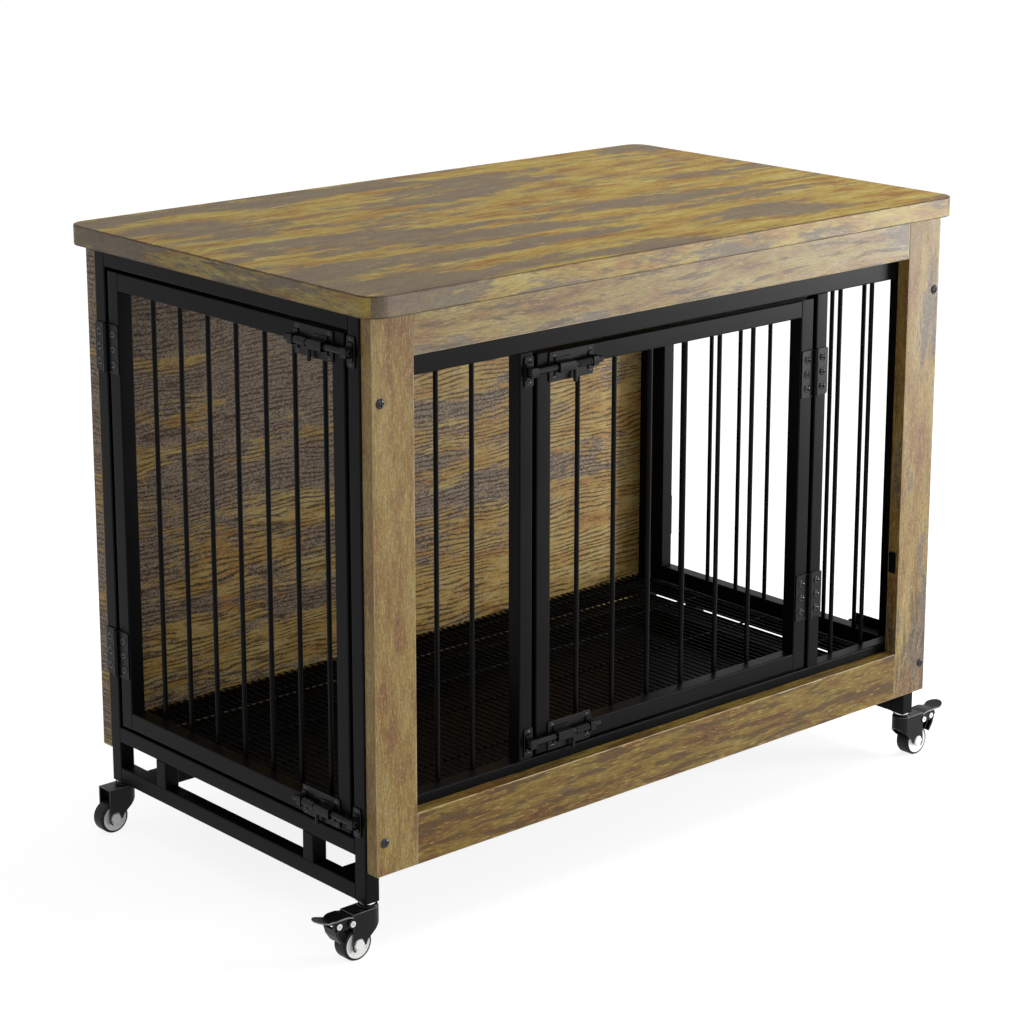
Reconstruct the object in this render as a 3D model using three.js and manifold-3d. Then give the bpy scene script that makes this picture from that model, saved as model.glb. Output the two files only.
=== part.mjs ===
// Dog crate end table: a welded square-tube crate with three barred doors,
// dressed with rustic boards and stood on four swivel casters.
// Millimetres, +X along the length, +Y to the back, +Z up.
// The origin is on the floor, under the middle of the whole object.
import * as THREE from 'three';
import { mergeVertices } from 'three/addons/utils/BufferGeometryUtils.js';
import Module from 'manifold-3d';

const wasm = await Module();
wasm.setup();

// ---------------------------------------------------------------- driving dimensions
const clearance = 0.3;            // between pieces that touch or nearly touch

// steel frame
const frameLength = 939;          // outside of the left legs to outside of the right legs
const frameDepth = 510;           // front of the front legs to back of the back legs
const legHeight = 680;            // leg foot to the underside of the table top
const tube = 20;                  // square tube of the frame
const floorRailTop = 74;          // top of the rails that carry the wire floor, above the leg foot
const footPostOffset = 77;        // leg to short post, in the clear, along the side
const crossBarInset = 28;         // leg to cross bar, in the clear, along the side

// front panel of the frame
const panelSill = 18;             // floor rail to the underside of the panel's bottom rail
const panelTopDrop = 48;          // top of the legs down to the top of the panel's top rail
const panelTopRail = 30;          // height of its top rail
const leftBayWidth = 211;         // left leg to left post, in the clear
const rightBayWidth = 172;        // right post to right leg, in the clear
const leftBayBars = 3;
const rightBayBars = 2;
const rightBayFirstBar = 48;      // right post to the first bar's middle
const rightBayBarPitch = 60;

// doors
const doorGap = 4;                // above a door, and below the side doors
const frontSillGap = 3;           // below the front door
const doorSideGap = 6;            // beside a door, room for the knuckles
const doorFace = 22;              // face width of a door's tube
const bar = 6;                    // diameter of the round bars
const barWeld = 0.3;              // how deep a bar sinks into the tube that it is welded to
const barLap = 9;                 // how far a bar's end lies on the tube behind it
const frontDoorBars = 6;
const sideDoorBars = 7;
const frontBarPitch = 59;         // middle to middle of the front door's bars
const sideBarPitch = 55.4;        // the same on the side doors

// hinges
const hingeHeight = 60;
const hingeLeaf = 20;             // width of a leaf, from the knuckle
const hingeSheet = 1.5;           // thickness of a leaf
const knuckleRadius = 3.4;
const hingePinRadius = 1.7;
const hingeBoreRadius = 2.2;
const hingeInset = 95;            // hinge middle from the door's top or bottom edge
const plateCorner = 2.5;          // corner radius of the leaves, latch plates and keepers

// barrel latches
const latchInset = 18;            // bolt axis from the door's top or bottom edge
const latchPlateStart = 18;       // from the door's latch edge
const latchPlateLength = 68;
const latchPlateHeight = 35;
const latchSheet = 1.5;
const boltRadius = 4;
const boltBoreRadius = 4.6;
const boltTip = 18;               // how far the bolt stands past the door's latch edge
const boltTail = 10;              // how far it stands past its plate
const guideWall = 1.6;
const longGuideStart = 8;         // from the start of the plate
const longGuideLength = 24;
const shortGuideLength = 8;
const handleRadius = 2.5;
const handleDrop = 21;            // bolt axis to the end of the handle
const handleGap = 1.3;            // long guide to the handle
const keeperWidth = 13;
const keeperGap = 6.5;            // door's latch edge to the keeper

// boards
const boardThickness = 18;
const boardBottom = 38;           // lower edge of the uprights and the skirt, above the leg foot
const uprightWidth = 59;
const uprightInset = 2;           // from the outside of the leg
const apronHeight = 50;
const skirtHeight = 62;
const rearPanelBottom = 42;       // above the leg foot
const topThickness = 25;
const topCorner = 25;             // plan radius of its corners
const topEdge = 2;                // rounding of its edges
const topSideOverhang = 10.5;
const topFrontOverhang = 16.5;    // past the uprights
const topBackOverhang = 27;       // past the rear panel

// wire floor and tray
const wireDiameter = 2.5;
const crossWireDiameter = 3;
const wireGaps = 62;
const crossWireGaps = 4;
const wireFloorInset = 3.5;       // leg to the first wire
const wireEndInset = 2;           // face of the frame to the wires' ends
const crossWireInset = 5;         // wires' ends to the first cross wire
const crossWireLap = 1;           // how far a cross wire passes the outer wires
const wireWeld = 0.4;             // how deep a wire sinks into the cross wires
const traySheet = 1.5;
const trayRim = 18;
const trayHeight = 29.7;
const traySideGap = 30;           // side frame to the rim

// casters
const wheelRadius = 20;
const wheelWidth = 20;
const hubRadius = 15.5;
const hubRecess = 1.5;
const axleRadius = 7.2;           // to the corners of its six-sided head
const axleBoreRadius = 7.8;       // the fork's mouth round it
const axleHeadHeight = 0.8;       // past the fork's cheek
const wheelTrail = 22;            // swivel axis to axle
const axleDrop = 44;              // leg foot to axle
const forkSheet = 2;
const forkGap = 10.6;             // middle of the wheel to the inside of a fork cheek
const forkTopDrop = 5.3;          // leg foot to the top of the fork
const forkEnd = 30;               // swivel axis to the back edge of the fork's top
const hookWidth = 1.6;            // the fork's hook behind the axle, at its narrowest
const washerRadius = 9.5;
const washerHeight = 2;
const raceRadius = 12;
const raceHeight = 3;
const pedalPivot = { x: 31.5, z: -15.4 };
const pedalEarRadius = 5.2;
const pedalPinRadius = 2.2;
const pinClearance = 0.5;
const pedalReach = 77;            // swivel axis to the pedal's toe
const rivetHeadRadius = 3.7;
const rivetHeadHeight = 1.2;

// ---------------------------------------------------------------- derived levels and places
const frontY = 0;                                   // front face of the steel frame
const backY = frameDepth;
const floorRailBottom = floorRailTop - tube;
const panelBottom = floorRailTop + panelSill;
const panelTop = legHeight - panelTopDrop;
const doorBottomFront = panelBottom + tube + frontSillGap;
const topFront = -clearance - boardThickness - topFrontOverhang;
const topBack = backY + clearance + boardThickness + topBackOverhang;
const topDepth = topBack - topFront;
const topLength = frameLength + 2 * topSideOverhang;
const casterHeight = axleDrop + wheelRadius;

// The whole object is moved once, so that its origin is under its middle, on the floor.
const assembly = new THREE.Group();
assembly.position.set(-frameLength / 2, -(topFront + topBack) / 2, casterHeight);

// ---------------------------------------------------------------- materials
function finish(color, roughness, metalness) {
  return new THREE.MeshStandardMaterial({ color, roughness, metalness });
}
const finishes = {
  board: () => finish(0x9a7a45, 0.6, 0.0),
  steel: () => finish(0x1b1b1d, 0.45, 0.4),
  hardware: () => finish(0x2c2c2e, 0.4, 0.6),
  bolt: () => finish(0x3a3a3c, 0.35, 0.8),
  tray: () => finish(0x242527, 0.55, 0.0),
  wheel: () => finish(0x1c1c1c, 0.7, 0.0),
};

// ---------------------------------------------------------------- solids
// A closed three.js geometry becomes a solid that can be joined and cut.
function solid(geometry) {
  const bare = geometry.index ? geometry.toNonIndexed() : geometry.clone();
  bare.deleteAttribute('normal');
  bare.deleteAttribute('uv');
  const merged = mergeVertices(bare, 1e-4);
  return new wasm.Manifold(new wasm.Mesh({
    numProp: 3,
    vertProperties: Float32Array.from(merged.attributes.position.array),
    triVerts: Uint32Array.from(merged.index.array),
  }));
}

function joined(solids) {
  return solids.reduce((all, next) => all.add(next));
}

function geometryOf(shape) {
  const mesh = shape.getMesh();
  const geometry = new THREE.BufferGeometry();
  geometry.setAttribute('position', new THREE.BufferAttribute(mesh.vertProperties, 3));
  geometry.setIndex(new THREE.BufferAttribute(mesh.triVerts, 1));
  return geometry;
}

// Reflected in the plane x = 0, with its faces turned to point outwards again.
function mirroredInX(geometry) {
  const flipped = geometry.clone();
  flipped.scale(-1, 1, 1);
  const index = flipped.index.array;
  for (let i = 0; i < index.length; i += 3) {
    [index[i], index[i + 1]] = [index[i + 1], index[i]];
  }
  return flipped;
}

// Box between two corners.
function block(x0, x1, y0, y1, z0, z1) {
  const box = new THREE.BoxGeometry(x1 - x0, y1 - y0, z1 - z0);
  box.translate((x0 + x1) / 2, (y0 + y1) / 2, (z0 + z1) / 2);
  return solid(box);
}

// Round rod along one axis ('x', 'y' or 'z') from a to b, centred on (u, v) of the other two.
function rod(axis, radius, a, b, u, v, sides = 10) {
  const cylinder = new THREE.CylinderGeometry(radius, radius, b - a, sides);
  const middle = (a + b) / 2;
  if (axis === 'x') {
    cylinder.rotateZ(Math.PI / 2);
    cylinder.translate(middle, u, v);
  } else if (axis === 'y') {
    cylinder.translate(u, middle, v);
  } else {
    cylinder.rotateX(Math.PI / 2);
    cylinder.translate(u, v, middle);
  }
  return solid(cylinder);
}

// Outline in the XZ plane, given a thickness from y0 to y1.
function slab(outline, y0, y1) {
  const plate = new THREE.ExtrudeGeometry(outline, { depth: y1 - y0, bevelEnabled: false });
  plate.rotateX(Math.PI / 2);
  plate.translate(0, y1, 0);
  return solid(plate);
}

function outlineOf(points) {
  return new THREE.Shape(points.map(([x, z]) => new THREE.Vector2(x, z)));
}

// Sheet with round corners, standing in the XZ plane.
function roundedPlate(x0, x1, y0, y1, z0, z1) {
  const r = plateCorner;
  const outline = new THREE.Shape();
  outline.moveTo(x0 + r, z0);
  outline.absarc(x1 - r, z0 + r, r, -Math.PI / 2, 0);
  outline.absarc(x1 - r, z1 - r, r, 0, Math.PI / 2);
  outline.absarc(x0 + r, z1 - r, r, Math.PI / 2, Math.PI);
  outline.absarc(x0 + r, z0 + r, r, Math.PI, Math.PI * 1.5);
  const plate = new THREE.ExtrudeGeometry(outline, {
    depth: y1 - y0, bevelEnabled: false, curveSegments: 2,
  });
  plate.rotateX(Math.PI / 2);
  plate.translate(0, y1, 0);
  return solid(plate);
}

function addMesh(parent, name, geometry, material) {
  const mesh = new THREE.Mesh(geometry, material);
  mesh.name = name;
  parent.add(mesh);
}

// ---------------------------------------------------------------- boards
// Plan with round corners; its two long edges are eased by a small bevel.
function tableTop() {
  const halfX = topLength / 2 - topEdge;
  const halfY = topDepth / 2 - topEdge;
  const radius = topCorner - topEdge;
  const plan = new THREE.Shape();
  plan.moveTo(-halfX + radius, -halfY);
  plan.lineTo(halfX - radius, -halfY);
  plan.absarc(halfX - radius, -halfY + radius, radius, -Math.PI / 2, 0);
  plan.lineTo(halfX, halfY - radius);
  plan.absarc(halfX - radius, halfY - radius, radius, 0, Math.PI / 2);
  plan.lineTo(-halfX + radius, halfY);
  plan.absarc(-halfX + radius, halfY - radius, radius, Math.PI / 2, Math.PI);
  plan.lineTo(-halfX, -halfY + radius);
  plan.absarc(-halfX + radius, -halfY + radius, radius, Math.PI, Math.PI * 1.5);
  const board = new THREE.ExtrudeGeometry(plan, {
    depth: topThickness - 2 * topEdge,
    bevelThickness: topEdge,
    bevelSize: topEdge,
    bevelSegments: 1,
    curveSegments: 4,
  });
  board.translate(frameLength / 2, (topFront + topBack) / 2, legHeight + clearance + topEdge);
  return geometryOf(solid(board));
}

function board(x0, x1, y0, y1, z0, z1) {
  return geometryOf(block(x0, x1, y0, y1, z0, z1));
}

function addBoards() {
  const back = -clearance;
  const front = back - boardThickness;
  const leftEdge = uprightInset;
  const rightEdge = frameLength - uprightInset;
  const leftJoint = leftEdge + uprightWidth;
  const rightJoint = rightEdge - uprightWidth;
  const frontBoards = [
    ['front_left_upright', leftEdge, leftJoint, boardBottom, legHeight],
    ['front_right_upright', rightJoint, rightEdge, boardBottom, legHeight],
    ['front_apron', leftJoint + clearance, rightJoint - clearance, legHeight - apronHeight, legHeight],
    ['front_skirt', leftJoint + clearance, rightJoint - clearance, boardBottom, boardBottom + skirtHeight],
  ];
  addMesh(assembly, 'table_top', tableTop(), finishes.board());
  for (const [name, x0, x1, z0, z1] of frontBoards) {
    addMesh(assembly, name, board(x0, x1, front, back, z0, z1), finishes.board());
  }
  const panelFront = backY + clearance;
  const panelBack = panelFront + boardThickness;
  addMesh(assembly, 'rear_panel',
    board(0, frameLength, panelFront, panelBack, rearPanelBottom, legHeight), finishes.board());
}

// ---------------------------------------------------------------- steel frame
// One welded side: two legs, three rails and two short posts, with the swivel race and
// washer of a caster under each leg. It stands in the plane of the doors, from x = 0 inwards.
function sideFrame() {
  const legs = [0, frameDepth - tube].map((y) => block(0, tube, y, y + tube, 0, legHeight));
  const rails = [0, floorRailBottom, legHeight - tube]
    .map((z) => block(0, tube, 0, frameDepth, z, z + tube));
  const posts = [tube + footPostOffset, frameDepth - 2 * tube - footPostOffset]
    .map((y) => block(0, tube, y, y + tube, 0, floorRailTop));
  const races = [tube / 2, frameDepth - tube / 2].flatMap((y) => [
    rod('z', washerRadius, -washerHeight, 1, tube / 2, y, 16),
    rod('z', raceRadius, -washerHeight - raceHeight, -washerHeight, tube / 2, y, 16),
  ]);
  return geometryOf(joined([...legs, ...rails, ...posts, ...races]));
}

function crossTube(y, z) {
  return geometryOf(block(tube + clearance, frameLength - tube - clearance, y, y + tube, z, z + tube));
}

// Round upright bars, welded behind a tube frame whose back face is at y = tube.
function barsBehind(places, z0, z1) {
  return places.map((x) => rod('z', bar / 2, z0, z1, x, tube + bar / 2 - barWeld));
}

function inSteps(first, pitch, count) {
  return Array.from({ length: count }, (_, i) => first + pitch * i);
}

function evenly(from, to, count) {
  const pitch = (to - from) / (count + 1);
  return inSteps(from + pitch, pitch, count);
}

const leftPostX = tube + leftBayWidth;
const rightPostX = frameLength - tube - rightBayWidth - tube;

function frontPanelFrame() {
  const left = tube + clearance;
  const right = frameLength - tube - clearance;
  const bottomRail = block(left, right, frontY, tube, panelBottom, panelBottom + tube);
  const topRail = block(left, right, frontY, tube, panelTop - panelTopRail, panelTop);
  const posts = [leftPostX, rightPostX]
    .map((x) => block(x, x + tube, frontY, tube, panelBottom, panelTop));
  const bars = [
    ...evenly(tube, leftPostX, leftBayBars),
    ...inSteps(rightPostX + tube + rightBayFirstBar, rightBayBarPitch, rightBayBars),
  ];
  const low = panelBottom + tube - barLap;
  const high = panelTop - panelTopRail + barLap;
  return geometryOf(joined([bottomRail, topRail, ...posts, ...barsBehind(bars, low, high)]));
}

function addFrame() {
  const side = sideFrame();
  addMesh(assembly, 'left_side_frame', side, finishes.steel());
  const rightSide = mirroredInX(side);
  rightSide.translate(frameLength, 0, 0);
  addMesh(assembly, 'right_side_frame', rightSide, finishes.steel());
  addMesh(assembly, 'front_panel_frame', frontPanelFrame(), finishes.steel());
  const backTube = frameDepth - tube;
  const barFromFront = tube + crossBarInset;
  const tubes = [
    ['front_top_rail', frontY, legHeight - tube],
    ['rear_top_rail', backTube, legHeight - tube],
    ['front_floor_rail', frontY, floorRailBottom],
    ['rear_floor_rail', backTube, floorRailBottom],
    ['front_cross_bar', barFromFront, 0],
    ['rear_cross_bar', frameDepth - barFromFront - tube, 0],
  ];
  for (const [name, y, z] of tubes) addMesh(assembly, name, crossTube(y, z), finishes.steel());
}

// ---------------------------------------------------------------- wire floor and tray
// Welded mesh: fine wires from front to back, lying on a few thicker wires along the length.
function wireFloor() {
  const half = wireDiameter / 2;
  const crossHalf = crossWireDiameter / 2;
  const x0 = tube + wireFloorInset;
  const x1 = frameLength - x0;
  const y0 = frontY + wireEndInset;
  const y1 = backY - wireEndInset;
  const crossZ = floorRailTop + clearance + crossHalf;
  const wireZ = crossZ + crossHalf + half - wireWeld;
  const end = half + crossWireLap;
  const wires = [];
  for (let i = 0; i <= wireGaps; i += 1) {
    const x = x0 + (x1 - x0) * i / wireGaps;
    wires.push(block(x - half, x + half, y0, y1, wireZ - half, wireZ + half));
  }
  for (let j = 0; j <= crossWireGaps; j += 1) {
    const y = y0 + crossWireInset + (y1 - y0 - 2 * crossWireInset) * j / crossWireGaps;
    wires.push(block(
      x0 - end, x1 + end, y - crossHalf, y + crossHalf, crossZ - crossHalf, crossZ + crossHalf));
  }
  return geometryOf(joined(wires));
}

// Shallow pan with a turned-out rim, standing on the two cross bars.
function dropInTray() {
  const bottom = tube + clearance;
  const top = bottom + trayHeight;
  const y0 = tube + crossBarInset;
  const y1 = frameDepth - y0;
  const x0 = tube + traySideGap + trayRim;
  const x1 = frameLength - x0;
  const outside = block(x0, x1, y0, y1, bottom, top);
  const rim = block(x0 - trayRim, x1 + trayRim, y0 - trayRim, y1 + trayRim, top - traySheet, top);
  const inside = block(
    x0 + traySheet, x1 - traySheet, y0 + traySheet, y1 - traySheet, bottom + traySheet, top + 1);
  return geometryOf(outside.add(rim).subtract(inside));
}

// ---------------------------------------------------------------- doors
// Every door is drawn lying in the XZ plane: x runs from its latch edge to its hinge edge,
// y inwards from its outer face, z up from its bottom edge.
function barredDoor(width, height, barCount, barPitch) {
  const stiles = [0, width - doorFace].map((x) => block(x, x + doorFace, 0, tube, 0, height));
  const rails = [0, height - doorFace].map((z) => block(0, width, 0, tube, z, z + doorFace));
  const places = inSteps(width / 2 - barPitch * (barCount - 1) / 2, barPitch, barCount);
  const bars = barsBehind(places, doorFace - barLap, height - doorFace + barLap);
  return joined([...stiles, ...rails, ...bars]);
}

// Butt hinge with three knuckles. The frame's leaf has the outer two and the pin.
function hingeLeaves(width, height, fromBottom) {
  const axisX = width + doorSideGap / 2;
  const axisY = -clearance - knuckleRadius;
  const third = hingeHeight / 3;
  const low = fromBottom - hingeHeight / 2;
  const leafBack = -clearance;
  const leafFront = leafBack - hingeSheet;
  const leaf = (x0, x1) => roundedPlate(x0, x1, leafFront, leafBack, low, low + hingeHeight);
  const knuckle = (a, b) => rod('z', knuckleRadius, a, b, axisX, axisY);
  const around = (a, b) => block(
    axisX - knuckleRadius - clearance, axisX + knuckleRadius + clearance,
    axisY - knuckleRadius - clearance, 0, a, b);
  const bore = rod('z', hingeBoreRadius, low - 1, low + hingeHeight + 1, axisX, axisY);
  const pin = rod('z', hingePinRadius, low, low + hingeHeight, axisX, axisY, 8);
  const middle = [low + third, low + 2 * third];
  const frameLeaf = leaf(axisX - plateCorner, axisX + knuckleRadius + hingeLeaf)
    .subtract(block(axisX - plateCorner - 1, axisX, leafFront - 1, 0, low - 1, low + hingeHeight + 1))
    .subtract(around(middle[0] - clearance, middle[1] + clearance))
    .add(knuckle(low, middle[0] - clearance / 2))
    .add(knuckle(middle[1] + clearance / 2, low + hingeHeight))
    .add(pin);
  const doorLeaf = leaf(axisX - knuckleRadius - hingeLeaf, axisX + plateCorner)
    .subtract(block(axisX, axisX + plateCorner + 1, leafFront - 1, 0, low - 1, low + hingeHeight + 1))
    .subtract(around(low - 1, middle[0] + clearance / 2))
    .subtract(around(middle[1] - clearance / 2, low + hingeHeight + 1))
    .add(knuckle(middle[0] + clearance / 2, middle[1] - clearance / 2))
    .subtract(bore);
  return { frameLeaf, doorLeaf };
}

const boltAxisY = -clearance - latchSheet - clearance - boltRadius;

// Arched strap over the bolt, from x0 to x1, standing on a plate.
function strap(x0, x1, z) {
  const outer = boltBoreRadius + guideWall;
  const foot = -clearance - latchSheet / 2;
  const arch = rod('x', outer, x0, x1, boltAxisY, z);
  const sides = block(x0, x1, boltAxisY, foot, z - outer, z + outer);
  const inFront = block(x0, x1, boltAxisY - 2 * outer, foot, z - 2 * outer, z + 2 * outer);
  return arch.intersect(inFront).add(sides);
}

function latchSheetBetween(x0, x1, z) {
  const half = latchPlateHeight / 2;
  return roundedPlate(x0, x1, -clearance - latchSheet, -clearance, z - half, z + half);
}

// The bolt's way under a strap, down to the face of the plate.
function boltBore(x0, x1, z) {
  const reach = 2 * boltBoreRadius;
  const above = block(
    x0 - 1, x1 + 1, boltAxisY - reach, -clearance - latchSheet, z - reach, z + reach);
  return rod('x', boltBoreRadius, x0 - 1, x1 + 1, boltAxisY, z).intersect(above);
}

function latchPlate(z) {
  const x0 = latchPlateStart;
  const x1 = x0 + latchPlateLength;
  const guides = [
    strap(x0 + longGuideStart, x0 + longGuideStart + longGuideLength, z),
    strap(x1 - shortGuideLength, x1, z),
  ];
  const sheet = latchSheetBetween(x0, x1, z);
  return joined([sheet, ...guides]).subtract(boltBore(x0, x1, z));
}

function latchBolt(z) {
  const handleX = latchPlateStart + longGuideStart + longGuideLength + handleGap + handleRadius;
  const tail = latchPlateStart + latchPlateLength + boltTail;
  const body = rod('x', boltRadius, -boltTip, tail, boltAxisY, z);
  const handle = rod('z', handleRadius, z - handleDrop, z, handleX, boltAxisY, 8);
  return body.add(handle);
}

function latchKeeper(z) {
  const x1 = -keeperGap;
  const x0 = x1 - keeperWidth;
  return latchSheetBetween(x0, x1, z).add(strap(x0, x1, z)).subtract(boltBore(x0, x1, z));
}

// A door with its two hinges and two latches. Left-handed doors are reflected in their own plane.
function addDoor(side, group, { width, height, barCount, barPitch, leftHanded }) {
  const place = (shape) => (leftHanded ? mirroredInX(geometryOf(shape)) : geometryOf(shape));
  addMesh(group, `${side}_door`, place(barredDoor(width, height, barCount, barPitch)), finishes.steel());
  for (const [level, hingeZ, latchZ] of [
    ['upper', height - hingeInset, height - latchInset],
    ['lower', hingeInset, latchInset],
  ]) {
    const { frameLeaf, doorLeaf } = hingeLeaves(width, height, hingeZ);
    addMesh(group, `${side}_hinge_${level}_frame_leaf`, place(frameLeaf), finishes.hardware());
    addMesh(group, `${side}_hinge_${level}_door_leaf`, place(doorLeaf), finishes.hardware());
    addMesh(group, `${side}_latch_${level}_plate`, place(latchPlate(latchZ)), finishes.hardware());
    addMesh(group, `${side}_latch_${level}_bolt`, place(latchBolt(latchZ)), finishes.bolt());
    addMesh(group, `${side}_latch_${level}_keeper`, place(latchKeeper(latchZ)), finishes.hardware());
  }
}

function addDoors() {
  const frontX = leftPostX + tube + doorSideGap;
  const front = new THREE.Group();
  front.position.set(frontX, frontY, doorBottomFront);
  addDoor('front', front, {
    width: rightPostX - doorSideGap - frontX,
    height: panelTop - panelTopRail - doorGap - doorBottomFront,
    barCount: frontDoorBars,
    barPitch: frontBarPitch,
    leftHanded: false,
  });

  const sideDoorY = tube + doorSideGap;
  const sideDoorZ = floorRailTop + doorGap;
  const sideDoor = {
    width: frameDepth - 2 * sideDoorY,
    height: legHeight - tube - doorGap - sideDoorZ,
    barCount: sideDoorBars,
    barPitch: sideBarPitch,
  };
  const left = new THREE.Group();
  left.position.set(0, sideDoorY, sideDoorZ);
  left.rotation.z = -Math.PI / 2;
  addDoor('left', left, { ...sideDoor, leftHanded: true });
  const right = new THREE.Group();
  right.position.set(frameLength, sideDoorY, sideDoorZ);
  right.rotation.z = Math.PI / 2;
  addDoor('right', right, { ...sideDoor, leftHanded: false });
  assembly.add(front, left, right);
}

// ---------------------------------------------------------------- casters
// A caster is drawn with its swivel axis on z, the foot of the leg at z = 0 and its wheel
// trailing along +x.
const forkOuter = forkGap + forkSheet;
const forkBack = wheelTrail + axleBoreRadius + hookWidth;

// Plan of the fork: a half circle round the swivel axis, then straight sides to x = end.
function forkPlan(halfWidth, end) {
  const plan = new THREE.Shape();
  plan.moveTo(end, -halfWidth);
  plan.lineTo(end, halfWidth);
  plan.lineTo(0, halfWidth);
  plan.absarc(0, 0, halfWidth, Math.PI / 2, Math.PI * 1.5);
  return plan;
}

function upright(plan, z0, z1) {
  const prism = new THREE.ExtrudeGeometry(plan, {
    depth: z1 - z0, bevelEnabled: false, curveSegments: 5,
  });
  prism.translate(0, 0, z0);
  return solid(prism);
}

// Side view of the fork: its front is cut back to the axle, which sits in a mouth between a
// short prong and a hook.
function forkSideView() {
  const x = wheelTrail;
  const z = -axleDrop;
  const r = axleBoreRadius;
  return outlineOf([
    [-forkOuter - 1, -forkTopDrop], [forkEnd, -forkTopDrop], [forkEnd, z + 14], [forkBack, z + 2],
    [forkBack - 0.4, z - 4], [x + r - 1.2, z - 8], [x + r / 2, z - r * 0.87], [x, z],
    [x - r * 0.96, z - r * 0.27], [x - r - 2.2, z - 1.5], [x - r - 4.8, z + 3.5],
    [x - 18.6, z + 8.3], [-forkOuter - 1, -forkTopDrop - 15.2],
  ]);
}

// One folded sheet: top, rounded front and two cheeks, with ears for the pedal where there is one.
function casterFork(braked) {
  const bottom = -axleDrop - wheelRadius;
  const top = upright(forkPlan(forkOuter, forkEnd), -forkTopDrop - forkSheet, -forkTopDrop);
  const skirt = upright(forkPlan(forkOuter, forkBack + 1), bottom, -forkTopDrop - forkSheet)
    .subtract(upright(forkPlan(forkGap, forkBack + 2), bottom - 1, -forkTopDrop - forkSheet + 0.01));
  const folded = top.add(skirt)
    .intersect(slab(forkSideView(), -forkOuter - 1, forkOuter + 1))
    .subtract(rod('y', axleBoreRadius, -forkOuter - 1, forkOuter + 1, wheelTrail, -axleDrop, 16));
  if (!braked) return geometryOf(folded);
  const { x, z } = pedalPivot;
  const ears = [-forkOuter, forkGap].map((y) => rod('y', pedalEarRadius, y, y + forkSheet, x, z, 12));
  const hole = rod('y', pedalPinRadius + pinClearance, -forkOuter - 1, forkOuter + 1, x, z);
  return geometryOf(joined([folded, ...ears]).subtract(hole));
}

// Tyre and recessed hub, turned as one, with the six-sided heads of the axle on both sides.
function casterWheel() {
  const half = wheelWidth / 2;
  const profile = [
    [0, -half + hubRecess], [hubRadius, -half + hubRecess], [hubRadius + 1, -half],
    [wheelRadius - 2, -half], [wheelRadius, -half + 2.5],
  ];
  const mirroredHalf = profile.map(([r, y]) => [r, -y]).reverse();
  const section = [...profile, ...mirroredHalf].map(([r, y]) => new THREE.Vector2(r, y));
  const turned = new THREE.LatheGeometry(section, 24);
  turned.translate(wheelTrail, 0, -axleDrop);
  const reach = forkOuter + axleHeadHeight;
  return geometryOf(solid(turned).add(rod('y', axleRadius, -reach, reach, wheelTrail, -axleDrop, 6)));
}

// Foot pedal: a tread that narrows to a neck and turns up to a round toe, two cheeks inside the
// fork's ears, and a shoe that hangs behind the tyre and meets it when the toe is pressed down.
function pedalTreadPlan() {
  const neck = pedalReach - 20;
  const toe = pedalReach - forkOuter;
  const plan = new THREE.Shape();
  plan.moveTo(forkEnd + clearance, -forkOuter);
  plan.lineTo(neck - 6, -forkOuter);
  plan.lineTo(neck, -forkOuter + 3);
  plan.lineTo(toe, -forkOuter);
  plan.absarc(toe, 0, forkOuter, -Math.PI / 2, Math.PI / 2);
  plan.lineTo(neck, forkOuter - 3);
  plan.lineTo(neck - 6, forkOuter);
  plan.lineTo(forkEnd + clearance, forkOuter);
  return plan;
}

function brakePedal() {
  const inner = forkGap - clearance;
  const { x, z } = pedalPivot;
  const fromPivot = (points) => outlineOf(points.map(([dx, dz]) => [x + dx, z + dz]));
  const toe = pedalReach - x;
  const heel = forkEnd - x;
  const tread = slab(fromPivot([
    [heel, 8], [6.5, 10], [16.5, 10.2], [24.5, 8.8], [32.5, 10.2], [toe, 13.8],
    [toe, 12], [32.5, 8.2], [24.5, 6.6], [16.5, 8], [6.5, 7.8], [heel, 6.1],
  ]), -forkOuter - 1, forkOuter + 1).intersect(upright(pedalTreadPlan(), z + 3.4, z + 15.4));
  const side = fromPivot([
    [-4, 3], [1, 7], [24.5, 7.2], [26.5, 2.4], [22.5, -4.6], [5, -5.6], [-3, -3.6],
  ]);
  const cheeks = [slab(side, -inner, -inner + forkSheet), slab(side, inner - forkSheet, inner)];
  const shoe = slab(fromPivot([
    [20.5, -1.6], [24.5, -1.6], [21.5, -11.6], [15, -21.1], [13.3, -19.6], [19, -11.1],
  ]), -inner, inner);
  const pin = rod('y', pedalPinRadius, -forkOuter - 1, forkOuter + 1, x, z);
  const heads = [-forkOuter - clearance - rivetHeadHeight, forkOuter + clearance]
    .map((y) => rod('y', rivetHeadRadius, y, y + rivetHeadHeight, x, z));
  return geometryOf(joined([tread, ...cheeks, shoe, pin, ...heads]));
}

function addCasters() {
  const corners = [
    ['front_left', tube / 2, tube / 2, Math.PI, true],
    ['front_right', frameLength - tube / 2, tube / 2, 0, true],
    ['rear_left', tube / 2, frameDepth - tube / 2, Math.PI, false],
    ['rear_right', frameLength - tube / 2, frameDepth - tube / 2, 0, false],
  ];
  for (const [corner, x, y, turn, braked] of corners) {
    const caster = new THREE.Group();
    caster.position.set(x, y, 0);
    caster.rotation.z = turn;
    addMesh(caster, `caster_${corner}_fork`, casterFork(braked), finishes.hardware());
    addMesh(caster, `caster_${corner}_wheel`, casterWheel(), finishes.wheel());
    if (braked) addMesh(caster, `caster_${corner}_brake_pedal`, brakePedal(), finishes.hardware());
    assembly.add(caster);
  }
}

// ---------------------------------------------------------------- assembly
addBoards();
addFrame();
addMesh(assembly, 'wire_floor', wireFloor(), finishes.steel());
addMesh(assembly, 'drop_in_tray', dropInTray(), finishes.tray());
addDoors();
addCasters();

export default assembly;
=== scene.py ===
import math

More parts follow.
